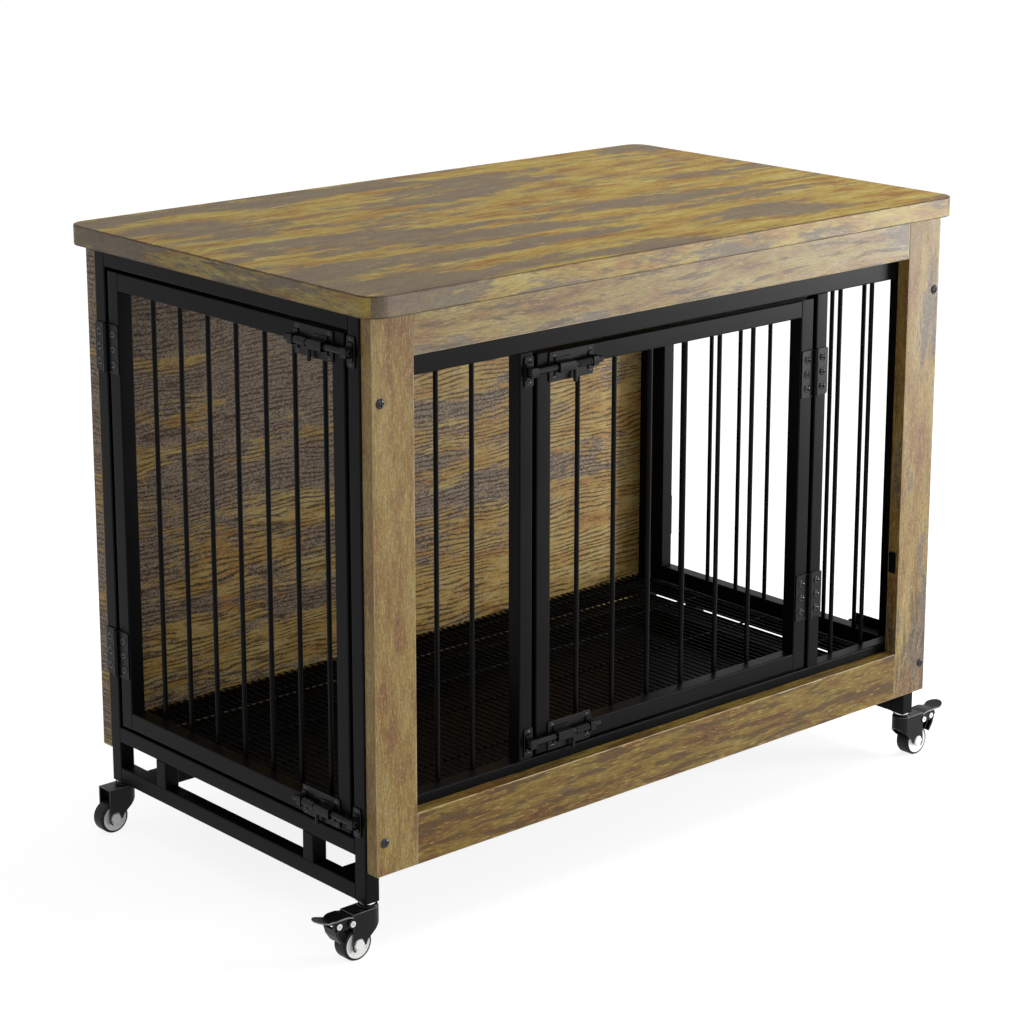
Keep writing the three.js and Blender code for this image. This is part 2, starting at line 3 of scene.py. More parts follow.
import bpy
import numpy as np
from mathutils import Matrix, Vector


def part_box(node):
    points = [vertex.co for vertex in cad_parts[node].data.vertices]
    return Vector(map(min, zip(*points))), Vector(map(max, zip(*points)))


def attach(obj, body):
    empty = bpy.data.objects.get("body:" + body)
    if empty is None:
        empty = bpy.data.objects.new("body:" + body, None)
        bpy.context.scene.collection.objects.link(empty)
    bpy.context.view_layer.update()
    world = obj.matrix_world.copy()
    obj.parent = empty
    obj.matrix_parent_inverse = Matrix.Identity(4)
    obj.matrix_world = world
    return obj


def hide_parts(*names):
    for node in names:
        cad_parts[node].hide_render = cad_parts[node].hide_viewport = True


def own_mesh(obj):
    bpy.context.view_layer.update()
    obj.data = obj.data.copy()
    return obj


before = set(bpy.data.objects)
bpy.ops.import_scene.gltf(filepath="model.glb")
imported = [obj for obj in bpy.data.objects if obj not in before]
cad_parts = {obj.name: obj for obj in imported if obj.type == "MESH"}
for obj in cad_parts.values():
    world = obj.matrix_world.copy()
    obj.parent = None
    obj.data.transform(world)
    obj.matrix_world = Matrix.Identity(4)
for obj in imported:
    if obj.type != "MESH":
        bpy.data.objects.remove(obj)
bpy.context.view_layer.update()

MM = 0.001
CLEARANCE = 0.3 * MM            # between pieces that touch

# Steel frame
TUBE = 20 * MM                  # square tube
TUBE_CORNER = 1.8 * MM          # outside radius of its long edges
TUBE_END = 0.2 * MM             # rounding of its cut ends
PANEL_TOP_RAIL = 30 * MM        # height of the front panel's top rail
FOOT_POST_OFFSET = 77 * MM      # leg to short post, in the clear
STEM_WASHER = 9.5 * MM          # radius of the washer between leg and caster
RACE_PROFILE = ((5, -5), (11.6, -5), (12, -4.4), (11.4, -3), (9, -2.3), (8.4, -2.02))   # mm: radius, height

# Doors and bars
DOOR_FACE = 22 * MM             # width of a door's tubes, seen from its front
BAR = 6 * MM
BAR_LAP = 9 * MM                # how far a bar's ends lie on the tubes in front of them
BAR_WELD = 0.3 * MM             # how deep a bar sits in its tube
DOOR_SIDE_GAP = 6 * MM
FRONT_DOOR_BARS = 6
FRONT_BAR_PITCH = 59 * MM
SIDE_DOOR_BARS = 7
SIDE_BAR_PITCH = 55.4 * MM
LEFT_BAY_BARS = 3
RIGHT_BAY_BARS = 2
RIGHT_BAY_FIRST_BAR = 48 * MM
RIGHT_BAY_BAR_PITCH = 60 * MM

# Hinges and latches
PRESSED_SHEET = 1.5 * MM
PRESSED_EDGE = 0.3 * MM
KNUCKLE = 3.4 * MM              # radius
KNUCKLE_GAP = 0.15 * MM         # from a knuckle's end to the middle of the gap beside it
LEAF_FROM_PIN = 1.2 * MM
HINGE_SCREW = 5.2 * MM          # radius of the domed heads
HINGE_SCREW_HEIGHT = 3.2 * MM
HINGE_SCREW_INSET = 9.5 * MM
HINGE_SCREW_PITCH = 18.5 * MM
BOLT = 4 * MM                   # radius
BOLT_PLAY = 0.45 * MM           # bolt to the inside of a guide
BOLT_EDGE = 1.2 * MM
GUIDE_WALL = 1.4 * MM
LONG_GUIDE = (8 * MM, 32 * MM)  # where the guide near the keeper starts and ends on the plate
SHORT_GUIDE = 8 * MM            # length of the guide at the plate's far end
KEEPER_MARGIN = 1.5 * MM        # keeper's plate past its strap
HANDLE_PLACE = 35.8 * MM        # plate's end to the handle's axis
HANDLE = 2.5 * MM               # radius
SPRING_WIRE = 0.55 * MM         # radius
SPRING_PLAY = 0.7 * MM          # bolt's surface to the middle of the wire
SPRING_TURNS = 9
SPRING_FROM_HANDLE = 3.4 * MM   # handle's axis to the spring's end
SPRING_FROM_GUIDE = 0.6 * MM
LATCH_SCREW = 2.9 * MM          # radius of the heads
LATCH_SCREW_HEIGHT = 1.4 * MM
LATCH_SCREW_INSET = 6 * MM
PLATE_SCREW_STEP = 12.8 * MM    # bolt's axis to the screws above and below it
KEEPER_SCREW_STEP = 13.2 * MM

# Wire floor
WIRE_PITCH = 10.75 * MM
WIRE_SIDES = 8
WIRE = 2.5 * MM
CROSS_WIRE = 3 * MM
CROSS_WIRES = 5
CROSS_WIRE_INSET = 5 * MM

# Tray
TRAY_SIDE_GAP = 48 * MM         # side frame to the pan's wall
TRAY_GAP = 1 * MM               # frame to the rim's edge
TRAY_SHEET = 1.5 * MM

# Boards
FOIL_EDGE = 0.7 * MM            # rounding where the foil turns over a board's edge
TOP_CORNER = 25 * MM
TOP_EDGE = 1.6 * MM
CHIP_AND_HIGHLIGHT_REACH = 2.2 * MM           # how far the foil's chipped edge and its painted edge highlight reach into a face
BOARD_SCREW = 6 * MM            # radius of the heads
BOARD_SCREW_HEIGHT = 2 * MM
BOARD_SCREW_PLACES = (77 * MM, 584 * MM)        # above the leg's foot
LEFT_SCREW_INSET = 11.5 * MM
RIGHT_SCREW_INSET = 8.5 * MM
DARK_PLATE = 1.4 * MM           # thickness of the small dark plate on the right upright's inner edge
DARK_PLATE_SPAN = (210 * MM, 239 * MM)          # above the leg's foot
RING_PITCH = 6 * MM             # year rings in the foil's print

# Casters, in the caster's own directions: u away from the swivel axis, z up from the leg's foot
LEG_FOOT = 64 * MM
WHEEL_TRAIL = 22 * MM
AXLE_DROP = 44 * MM
WHEEL_RADIUS = 20 * MM
WHEEL_HALF = 10 * MM
HUB_RADIUS = 16.6 * MM
FORK_GAP = 10.6 * MM
FORK_SHEET = 2 * MM
FORK_TOP = 5.3 * MM
FORK_END = 30 * MM
PEDAL_PIVOT = (31.5 * MM, -15.4 * MM)
PEDAL_RIVET = (48.8 * MM, -14.6 * MM)
PEDAL_REACH = 77 * MM
PEDAL_SHEET = 2 * MM

# Studio: each light's name, place, aim, width and height in metres, and watts
SOFTBOXES = (
    ("right_front_softbox", (2.88, -2.04, 0.50), (0.45, -0.28, 0.62), (0.90, 0.92), 84),
    ("top_softbox", (1.1, -0.5, 2.7), (0.2, 0, 0.5), (1.6, 1.4), 56),
    ("front_fill", (-0.3, -3.6, 1.5), (0.1, 0.2, 0.4), (1.6, 1.2), 14),
)
FLOOR_HALF = 14.0               # metres
FLOOR_GLOW = 0.85
WORLD_LIGHT = 0.39


# ---- shapes
# A shape is a pair: an array of points, and a list of faces that index them.

def facing_out(points, faces):
    """Turns every face round if the signed volume that the faces enclose is negative."""
    volume = 0.0
    for face in faces:
        corners = points[list(face)]
        volume += np.sum(np.cross(corners[1:-1], corners[2:]) * corners[0])
    if volume < 0:
        faces = [face[::-1] for face in faces]
    return points, faces


def loft(rings, closed=False):
    """Skin of quads through rings with equal point counts. It has a flat cap at each end, or is closed on itself
    from the last ring to the first."""
    rings = np.asarray(rings, float)
    count, around = rings.shape[:2]
    index = np.arange(count * around).reshape(count, around)
    low, high = (index, np.roll(index, -1, 0)) if closed else (index[:-1], index[1:])
    faces = np.stack([low, np.roll(low, -1, 1), np.roll(high, -1, 1), high], -1).reshape(-1, 4).tolist()
    if not closed:
        faces += [index[0, ::-1].tolist(), index[-1].tolist()]
    return facing_out(rings.reshape(-1, 3), faces)


def on_axis(axis, across, height):
    """Points of an outline, put at a height along an axis. The outline's two directions are the other two axes."""
    columns = {"x": (2, 0, 1), "y": (0, 2, 1), "z": (0, 1, 2)}[axis]
    flat = np.column_stack([across, np.full(len(across), height)])
    return flat[:, columns]


def arc(angles):
    """Points of the unit circle at these angles."""
    return np.column_stack([np.cos(angles), np.sin(angles)])


def circle(sides):
    return arc(np.linspace(0, 2 * math.pi, sides, endpoint=False))


def rounded_rectangle(low, high, radius, steps=4):
    """Rectangle between two corners, each corner a quarter circle: centre plus radius times (cos, sin)."""
    low, high = np.asarray(low, float), np.asarray(high, float)
    turns = np.linspace(0, math.pi / 2, steps + 1)
    points = []
    for quarter, (x, y) in enumerate([(1, 1), (0, 1), (0, 0), (1, 0)]):
        centre = np.where([x, y], high - radius, low + radius)
        points.append(centre + radius * arc(turns + quarter * math.pi / 2))
    return np.concatenate(points)


def inset(outline, distance):
    """Outline moved inwards: each point goes along the mean of its two edges' inward normals."""
    edge = np.roll(outline, -1, 0) - outline
    area = np.sum(outline[:, 0] * np.roll(outline[:, 1], -1) - np.roll(outline[:, 0], -1) * outline[:, 1])
    length = np.maximum(np.linalg.norm(edge, axis=1, keepdims=True), 1e-9)
    normal = np.column_stack([-edge[:, 1], edge[:, 0]]) / length * np.sign(area)
    mean = normal + np.roll(normal, 1, 0)
    mean /= np.maximum(np.sum(mean * mean, 1, keepdims=True) / 2, 0.3)
    return outline + mean * distance


def slab(outline, low, high, axis, edge=0.0, steps=2, border=0.0):
    """Outline extruded from low to high, its two rims rounded: at angle t the rim is in by edge*(1 - sin t)
    and down by edge*(1 - cos t). The weight for worn edges and painted edge highlights is sin(2t) on a rim. A
    border wider than 0 lets that weight fade out that far into the faces beside the rim. The outline is an
    array, or a function of the distance in."""
    if edge <= 0:
        return loft([on_axis(axis, outline, low), on_axis(axis, outline, high)])
    if callable(outline):
        at_depth = outline
    else:
        def at_depth(distance):
            return inset(outline, distance)
    turn = np.linspace(0, math.pi / 2, steps + 1)
    depth = edge * (1 - np.sin(turn))
    rise = edge * (1 - np.cos(turn))
    wear_and_highlight = np.sin(2 * turn) if border <= 0 else 0.7 + 0.3 * np.sin(2 * turn)
    if border > 0:
        depth = np.concatenate([[edge + border], depth, [0.0]])
        rise = np.concatenate([[0.0], rise, [edge + border]])
        wear_and_highlight = np.concatenate([[0.0], wear_and_highlight, [0.0]])
    rings = [on_axis(axis, at_depth(d), low + r) for d, r in zip(depth, rise)]
    rings += [on_axis(axis, at_depth(d), high - r) for d, r in zip(depth[::-1], rise[::-1])]
    points, faces = loft(rings)
    return points, faces, np.repeat(np.concatenate([wear_and_highlight, wear_and_highlight[::-1]]), len(rings[0]))


def bar_shape(low, high, axis, radius, edge=0.0):
    """Straight bar filling a box, its four long edges rounded by radius and its ends by edge."""
    low, high = np.asarray(low, float), np.asarray(high, float)
    at = "xyz".index(axis)
    others = [i for i in range(3) if i != at]
    return slab(rounded_rectangle(low[others], high[others], radius), low[at], high[at], axis, edge)


def rod(u, v, radius, low, high, axis, edge=0.0, sides=20):
    """Round rod along an axis, centred on (u, v) of the other two directions."""
    return slab((u, v) + radius * circle(sides), low, high, axis, edge)


def revolve(profile, centre, axis, sides=32, closed=False):
    """Profile of (radius, height) points turned round an axis through centre. It is capped flat at both ends, or
    closed on itself as a ring."""
    rings = np.array([on_axis(axis, circle(sides) * radius, height) for radius, height in profile])
    return loft(rings + np.asarray(centre, float), closed)


def screw_head(centre, outward, radius, height, slot=0.17):
    """Domed head with a cross recess: height times (1 - (r/R)^2)^0.7, less the recess where |a| or |b| is
    under slot times R. outward is the head's axis, a unit vector."""
    rings, around = 12, 40
    share = np.linspace(1, 0, rings, endpoint=False)[:, None]
    turn = np.linspace(0, 2 * math.pi, around, endpoint=False)[None, :]
    a, b = share * np.cos(turn), share * np.sin(turn)
    dome = (1 - share ** 2) ** 0.7 + 0 * turn

    def blade(across, along):
        return np.clip((slot - np.abs(across)) / 0.06, 0, 1) * np.clip((0.62 - np.abs(along)) / 0.1, 0, 1)

    recess = np.maximum(blade(a, b), blade(b, a))
    rise = height * dome - 0.75 * height * recess
    axis = np.asarray(outward, float)
    side = np.array([0.0, 0.0, 1.0]) if abs(axis[2]) < 0.5 else np.array([1.0, 0.0, 0.0])
    other = np.cross(axis, side)
    surface = (a * radius)[..., None] * other + (b * radius)[..., None] * side + rise[..., None] * axis
    base = surface[:1] - axis * (0.3 * height)
    return loft(np.concatenate([base, surface]) + np.asarray(centre, float))


def coil(u, v, radius, wire, low, high, turns):
    """Helix of round wire along x: centre (low + pitch*t/2pi, radius*cos t, radius*sin t), swept by a circle."""
    sides, steps = 6, 10
    count = turns * steps
    t = np.linspace(0, turns * 2 * math.pi, count)
    around = np.linspace(0, 2 * math.pi, sides, endpoint=False)
    out = radius + wire * np.cos(around)[None, :]
    height = np.linspace(low, high, count)[:, None] + wire * np.sin(around)[None, :]
    first = u + out * np.cos(t)[:, None]
    second = v + out * np.sin(t)[:, None]
    return loft(np.stack([height, first, second], -1))


def placed(shapes, origin, along, inward):
    """Shapes drawn as (along, inward, up), turned to those directions and moved to origin."""
    turn = np.array([along, inward, (0, 0, 1)], float)
    return [facing_out(points @ turn + np.asarray(origin, float), faces) + tuple(wear_and_highlight)
            for points, faces, *wear_and_highlight in shapes]


# ---- pieces

def piece(name, shapes, material, body="root", stands_for=()):
    """One mesh of closed shapes that rides on a body and stands for CAD nodes. Edges sharper than 50 degrees
    stay sharp. Its attribute edge_wear_and_highlight holds each point's weight for worn edges and painted edge
    highlights."""
    points, faces, wears_and_highlights, start = [], [], [], 0
    for corners, polygons, *wear_and_highlight in shapes:
        points.append(corners)
        wears_and_highlights.append(wear_and_highlight[0] if wear_and_highlight else np.zeros(len(corners)))
        faces += [[i + start for i in polygon] for polygon in polygons]
        start += len(corners)
    mesh = bpy.data.meshes.new(name)
    mesh.from_pydata(np.concatenate(points).tolist(), [], faces)
    mesh.polygons.foreach_set("use_smooth", np.ones(len(mesh.polygons), bool))
    mesh.set_sharp_from_angle(angle=math.radians(50))
    mesh.attributes.new("edge_wear_and_highlight", "FLOAT", "POINT").data.foreach_set("value", np.concatenate(wears_and_highlights))
    mesh.materials.append(material)
    made = bpy.data.objects.new(name, mesh)
    bpy.context.scene.collection.objects.link(made)
    made.modifiers.new("flat_face_normals", "WEIGHTED_NORMAL").keep_sharp = True
    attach(made, body)
    if stands_for:
        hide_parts(*stands_for)
    return made


def corners_of(node):
    """Lowest and highest corner of a CAD node."""
    low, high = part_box(node)
    return np.array(low), np.array(high)


LEG_INSIDE = corners_of("front_cross_bar")[1][0] + CLEARANCE


# ---- materials

def linear(colour):
    """sRGB hex to linear RGBA."""
    parts = [int(colour[i:i + 2], 16) / 255 for i in (1, 3, 5)]
    return [p / 12.92 if p <= 0.04045 else ((p + 0.055) / 1.055) ** 2.4 for p in parts] + [1.0]


def add(tree, kind, inputs=None, **settings):
    """Adds a shader node, sets it, and links or fills the inputs that are named."""
    node = tree.nodes.new("ShaderNode" + kind)
    for key, value in settings.items():
        setattr(node, key, value)
    for key, value in (inputs or {}).items():
        socket = node.inputs[key]
        if isinstance(value, bpy.types.NodeSocket):
            tree.links.new(value, socket)
        else:
            socket.default_value = value
    return node


def empty_tree(owner):
    """Node tree of a material or world, without its first nodes."""
    owner.use_nodes = True
    owner.node_tree.nodes.clear()
    return owner.node_tree


def new_material(name):
    material = bpy.data.materials.new(name)
    tree = empty_tree(material)
    shader = add(tree, "BsdfPrincipled")
    add(tree, "OutputMaterial", {"Surface": shader.outputs[0]})
    return material, tree, shader


def object_place(tree):
    return add(tree, "TexCoord").outputs["Object"]


# each point's weight for worn edges and for painted highlights along edges
def edge_wear_and_highlight(tree):
    return add(tree, "Attribute", attribute_name="edge_wear_and_highlight").outputs["Fac"]


def surface(tree, shader, colour, relief, strength, depth, varied, roughness, specular):
    """Fills a shader: a bump from relief, and a roughness that follows the noise varied between two values."""
    bump = add(tree, "Bump", {"Height": relief, "Strength": strength, "Distance": depth})
    rough = spread(tree, varied, *roughness)
    for socket, value in (("Base Color", colour), ("Normal", bump.outputs[0]), ("Roughness", rough)):
        tree.links.new(value, shader.inputs[socket])
    shader.inputs["Specular IOR Level"].default_value = specular


def spread(tree, noise, low, high):
    """A noise's usual range, 0.3 to 0.7, mapped to low and high."""
    limits = {"From Min": 0.3, "From Max": 0.7, "To Min": low, "To Max": high}
    return add(tree, "MapRange", {"Value": noise, **limits}).outputs[0]


def stretched(tree, place, sizes, detail=3.0, roughness=0.55, distortion=0.0):
    """Noise whose features are sizes = (x, y, z) metres across."""
    vector = add(tree, "VectorMath", {0: place, 1: [1 / s for s in sizes]}, operation="MULTIPLY")
    noise = add(tree, "TexNoise", {
        "Vector": vector.outputs[0], "Scale": 1.0, "Detail": detail, "Roughness": roughness,
        "Distortion": distortion,
    })
    return noise.outputs["Fac"]


def between(tree, value, low, high):
    """0 below low, 1 above high, with a smooth step between."""
    return add(tree, "MapRange", {"Value": value, "From Min": low, "From Max": high},
               interpolation_type="SMOOTHSTEP").outputs[0]


def maths(tree, operation, a, b=0.0):
    return add(tree, "Math", {0: a, 1: b}, operation=operation).outputs[0]


def blended(tree, share, first, second):
    """Mixes two colours, each a hex string or a socket."""
    node = add(tree, "Mix", {"Factor": share}, data_type="RGBA")
    for socket, colour in zip((node.inputs[6], node.inputs[7]), (first, second)):
        if isinstance(colour, str):
            socket.default_value = linear(colour)
        else:
            tree.links.new(colour, socket)
    return node.outputs[2]


def total(tree, value, *others):
    for other in others:
        value = maths(tree, "ADD", value, other)
    return value


def tinted(tree, base, colour, strength, value, low, high):
    """base, mixed with up to strength of colour where value goes from low to high."""
    return blended(tree, scaled(tree, between(tree, value, low, high), strength), base, colour)


def ramp(tree, value, stops):
    """Colour ramp over stops of (position, hex)."""
    node = add(tree, "ValToRGB", {"Fac": value})
    elements = node.color_ramp.elements
    while len(elements) < len(stops):
        elements.new(0.5)
    for element, (position, colour) in zip(elements, stops):
        element.position = position
        element.color = linear(colour)
    return node.outputs["Color"]


def scaled(tree, value, factor, offset=0.0):
    """value * factor + offset."""
    return add(tree, "Math", {0: value, 1: factor, 2: offset}, operation="MULTIPLY_ADD").outputs[0]


def rustic_foil(name, grain, shift, gold, worn, streaks, speckle, rings=0.0, painted_light_lean=(0.0, 0.0), foot=0.0,
                rim="#3f2c17", bare="#695c4e", specular=0.22):
    """Pressed board in a printed rustic foil, matt with a fine embossed grain. The print is thin golden paint
    on a grey-brown plank: bare patches 150 to 250 mm long and 40 to 70 mm wide with torn ends, fibres 14 mm
    long and 1.3 mm wide, brown streaks 80 mm long, year rings 6 mm apart and specks of 2 to 3 mm. gold is the
    paint's five tones and bare the plank's. worn, streaks, rings and speckle say how much of each there is, from
    0 to 1; lean shifts the bare patches per metre along X and Z and the brown streaks along X, a painted gradient
    of light and shade, and foot adds brown per metre downwards, painted shade towards the foot; rim is the colour
    of the edges, dark where the foil is chipped and cream where it paints a highlight along them. On end faces
    the grain runs along the edge band."""
    material, tree, shader = new_material(name)
    source = add(tree, "TexCoord")
    place = source.outputs["Object"]
    parts = add(tree, "SeparateXYZ", {0: place}).outputs
    # lean tilts the share of bare plank along X and Z: a painted gradient of light and shade
    painted_light_leaning = total(tree, scaled(tree, parts[0], painted_light_lean[0]), scaled(tree, parts[2], painted_light_lean[1]))
    if grain == "x":
        band = add(tree, "CombineXYZ", {0: parts[1], 1: parts[0], 2: parts[2]}).outputs[0]
        ends = maths(tree, "ABSOLUTE", add(tree, "SeparateXYZ", {0: source.outputs["Normal"]}).outputs[0])
        ends = maths(tree, "GREATER_THAN", ends, 0.75)
        place = add(tree, "Mix", {"Factor": ends, 4: place, 5: band}, data_type="VECTOR").outputs[1]
    turn = {"x": (0, 0, 0), "z": (0, math.pi / 2, 0)}[grain]
    place = add(tree, "Mapping", {"Vector": place, "Location": shift, "Rotation": turn}).outputs[0]
    sway = add(tree, "VectorMath", {0: place, 1: (3.2, 10.0, 10.0)}, operation="MULTIPLY")
    sway = add(tree, "TexNoise", {"Vector": sway.outputs[0], "Scale": 1.0, "Detail": 2.0})
    sway = add(tree, "VectorMath", {0: sway.outputs["Color"], 1: (0.0, 0.026, 0.026), 2: place},
               operation="MULTIPLY_ADD")
    place = sway.outputs[0]

    patch = stretched(tree, place, (0.22, 0.052, 0.052), 3, 0.52, 0.3)
    feather = stretched(tree, place, (0.040, 0.0070, 0.0070), 5, 0.66)
    fibre = stretched(tree, place, (0.014, 0.0013, 0.0013), 3, 0.60)
    speck = stretched(tree, place, (0.0032, 0.0019, 0.0019), 2, 0.7)
    hue = stretched(tree, place, (0.10, 0.020, 0.020), 5, 0.62)
    torn = total(tree, scaled(tree, feather, 0.50, -0.25), scaled(tree, fibre, 0.16, -0.08))

    hue = total(tree, hue, scaled(tree, feather, 0.35, -0.175))
    paint = ramp(tree, hue, list(zip((0.32, 0.42, 0.50, 0.58, 0.70), gold)))
    paint = tinted(tree, paint, "#5b421b", 0.50, fibre, 0.50, 0.66)
    paint = tinted(tree, paint, "#b8a35a", 0.45, fibre, 0.46, 0.32)

    plank = tinted(tree, bare, "#4c4137", 0.35, fibre, 0.45, 0.65)
    share = between(tree, total(tree, patch, torn, painted_light_leaning), 0.59 - 0.20 * worn, 0.69 - 0.20 * worn)
    colour = blended(tree, scaled(tree, share, 0.86), paint, plank)

    brown = stretched(tree, place, (0.080, 0.0080, 0.0080), 4, 0.60, 0.3)
    # lean along X and foot downwards add brown here: painted shade
    brown = total(tree, brown, scaled(tree, torn, 0.7), scaled(tree, parts[0], painted_light_lean[0]),
                  scaled(tree, parts[2], -foot))
    colour = tinted(tree, colour, "#49331a", 0.5 + 0.35 * streaks, brown, 0.68 - 0.20 * streaks,
                    0.78 - 0.20 * streaks)

    if rings:
        across = add(tree, "SeparateXYZ", {0: place}).outputs["Z"]
        bend = stretched(tree, place, (0.16, 0.06, 0.06), 3, 0.5)
        phase = total(tree, scaled(tree, across, 2 * math.pi / RING_PITCH), scaled(tree, bend, 30.0),
                      scaled(tree, feather, 6.0))
        line = between(tree, maths(tree, "SINE", phase), 0.10, 0.75)
        seen = between(tree, stretched(tree, place, (0.06, 0.018, 0.018), 4, 0.65), 0.36, 0.54)
        line = maths(tree, "MULTIPLY", scaled(tree, line, 0.85 * rings), seen)
        colour = blended(tree, line, colour, "#34220f")

    grit = scaled(tree, between(tree, speck, 0.48, 0.60), 0.75 * speckle)
    grit = maths(tree, "MULTIPLY", grit, scaled(tree, share, 0.6, 0.4))
    colour = blended(tree, grit, colour, "#2c221b")
    colour = tinted(tree, colour, "#a3937c", 0.45 * speckle, speck, 0.46, 0.36)

    # dark rims are chipped foil; cream rims are a painted highlight along the edges
    chip_and_highlight = total(tree, edge_wear_and_highlight(tree), scaled(tree, feather, 1.6, -0.8))
    colour = tinted(tree, colour, rim, 0.85, chip_and_highlight, 0.60, 0.85)

    relief = maths(tree, "SUBTRACT", fibre, scaled(tree, speck, 0.4))
    surface(tree, shader, colour, relief, 0.3, 0.25 * MM, feather, (0.42, 0.54), specular)
    return material


def powder_coat(name, colour="#040405", roughness=0.39, specular=0.07, peel=1.3 * MM, rim="#222224"):
    """Steel in satin black powder coat, baked on: a faint orange peel about a millimetre across, and edges
    greyed by a painted highlight. rim is the colour there."""
    material, tree, shader = new_material(name)
    place = object_place(tree)
    skin = stretched(tree, place, (peel, peel, peel), 2, 0.5)
    cloud = stretched(tree, place, (0.12, 0.12, 0.12), 3, 0.5)
    tone = blended(tree, between(tree, cloud, 0.35, 0.65), colour, "#080809")
    # rim greys the edges: a painted highlight
    tone = blended(tree, between(tree, edge_wear_and_highlight(tree), 0.2, 1.0), tone, rim)
    surface(tree, shader, tone, skin, 0.12, 0.08 * MM, cloud, (roughness - 0.03, roughness + 0.03), specular)
    return material


def plated_steel(name, colour, roughness):
    """Zinc plated steel: bright metal with fine rolling marks half a millimetre apart."""
    material, tree, shader = new_material(name)
    marks = stretched(tree, object_place(tree), (0.012, 0.0005, 0.012), 2, 0.5)
    tone = blended(tree, between(tree, marks, 0.3, 0.7), colour, "#ffffff")
    tree.links.new(tone, shader.inputs["Base Color"])
    tree.links.new(spread(tree, marks, roughness - 0.06, roughness + 0.06), shader.inputs["Roughness"])
    shader.inputs["Metallic"].default_value = 1.0
    return material


def moulded(name, first, second, roughness, specular=0.5, grain=0.8 * MM):
    """Moulded plastic or rubber: two near tones in clouds of 30 mm, and a fine grain from the mould, 0.8 mm
    across or as given."""
    material, tree, shader = new_material(name)
    place = object_place(tree)
    mottle = stretched(tree, place, (0.03, 0.03, 0.03), 3, 0.55)
    fine = stretched(tree, place, (grain, grain, grain), 2, 0.5)
    tone = blended(tree, between(tree, mottle, 0.35, 0.65), first, second)
    surface(tree, shader, tone, fine, 0.15, 0.08 * MM, mottle, (roughness - 0.04, roughness + 0.04), specular)
    return material


# lean and foot in the foils below paint light and shade as gradients across each board.
TOP_FOIL, TOP_EDGE_FOIL = (
    rustic_foil(name, "x", (0.31, 0.12, 0.0), ("#6c471e", "#886529", "#907834", "#99863f", "#a2925a"), worn=0.62,
                streaks=0.15, speckle=0.25, painted_light_lean=(-0.10, 0.0), bare="#64584b", specular=level)
    for name, level in (("top_board_foil", 0.03), ("top_edge_foil", 0.36)))
# The cream rims of the boards below are painted highlights along their edges; the top's dark rim is chipped foil.
APRON_FOIL = rustic_foil(
    "apron_board_foil", "x", (1.7, 0.4, 0.9), ("#66421a", "#806026", "#857032", "#8f7b3a", "#9b8a5a"), worn=0.10,
    streaks=0.75, speckle=0.4, rim="#b3a27e", specular=0.48)
# The skirt's darker tones are painted shade on the same foil as the apron.
SKIRT_FOIL = rustic_foil(
    "skirt_board_foil", "x", (5.2, 1.4, 0.3), ("#513210", "#654618", "#6e5820", "#756024", "#7d6a34"), worn=0.0,
    streaks=0.98, speckle=0.15, rim="#b3a27e", bare="#5c4a30")
POST_FOIL = rustic_foil(
    "upright_board_foil", "z", (2.3, 1.1, 0.2), ("#6a4119", "#785620", "#80652a", "#887036", "#907c4a"), worn=0.35,
    streaks=0.75, speckle=0.7, painted_light_lean=(0.24, -0.30), foot=0.55, rim="#a08f6a", bare="#5f5347", specular=0.36)
# The rear panel's lighter tones are painted light on the same foil.
REAR_FOIL = rustic_foil(
    "rear_board_foil", "x", (4.1, 2.0, 3.3), ("#9a6a32", "#b48c46", "#bb9a54", "#c0a462", "#c4b074"), worn=0.0,
    streaks=0.62, speckle=1.0, rings=1.0, painted_light_lean=(-0.14, 0.38), foot=0.12, rim="#a08f6a", bare="#8b7a6e")
# The rim colours of these coats are painted highlights along the edges.
FRAME_COAT = powder_coat("frame_powder_coat")
WIRE_COAT = powder_coat("wire_coat", "#080809", 0.38, 0.12, 0.8 * MM)
HARDWARE_COAT = powder_coat("hardware_black_finish", "#09090a", 0.34, 0.14, 0.9 * MM, "#4a4a4c")
CASTER_COAT = powder_coat("caster_black_finish", "#0b0b0c", 0.36, 0.16, 0.9 * MM, "#8a8a8c")
DOME_SCREW_COAT = powder_coat("dome_screw_finish", "#08080a", 0.20, 0.60, 0.7 * MM)
BOARD_SCREW_COAT = powder_coat("board_screw_finish", "#26282c", 0.30, 0.35, 0.7 * MM)
BRIGHT_STEEL = plated_steel("bright_zinc_plate", "#b4b4b6", 0.22)
SPRING_COAT = powder_coat("spring_black_finish", "#0b0b0c", 0.22, 0.80, 0.6 * MM, "#3a3a3c")
NYLON = moulded("white_nylon_hub", "#f0f0ee", "#e6e6e4", 0.42)
RIVET_FACE = moulded("grey_rivet_face", "#a9a9a8", "#bdbdbb", 0.40)
TYRE = moulded("black_tyre_rubber", "#0a0a0b", "#101011", 0.50, 0.2)
TRAY_PLASTIC = moulded("black_tray_plastic", "#0a0b0c", "#0f1011", 0.45, 0.15, 1.4 * MM)


# ---- boards

def board(node, material, axis="y", corner=FOIL_EDGE, edge=FOIL_EDGE, steps=2):
    """Board whose outline is extruded through its thickness, with eased rims."""
    low, high = corners_of(node)
    flat = {"y": [0, 2], "z": [0, 1]}[axis]
    through = "xyz".index(axis)
    fine = 14 if corner > FOIL_EDGE else 2

    def outline(distance):
        radius = max(corner - distance, 0.1 * MM)
        return rounded_rectangle(low[flat] + distance, high[flat] - distance, radius, fine)

    shape = slab(outline, low[through], high[through], axis, edge, steps, CHIP_AND_HIGHLIGHT_REACH)
    return piece(node + "_board", [shape], material, stands_for=[node])


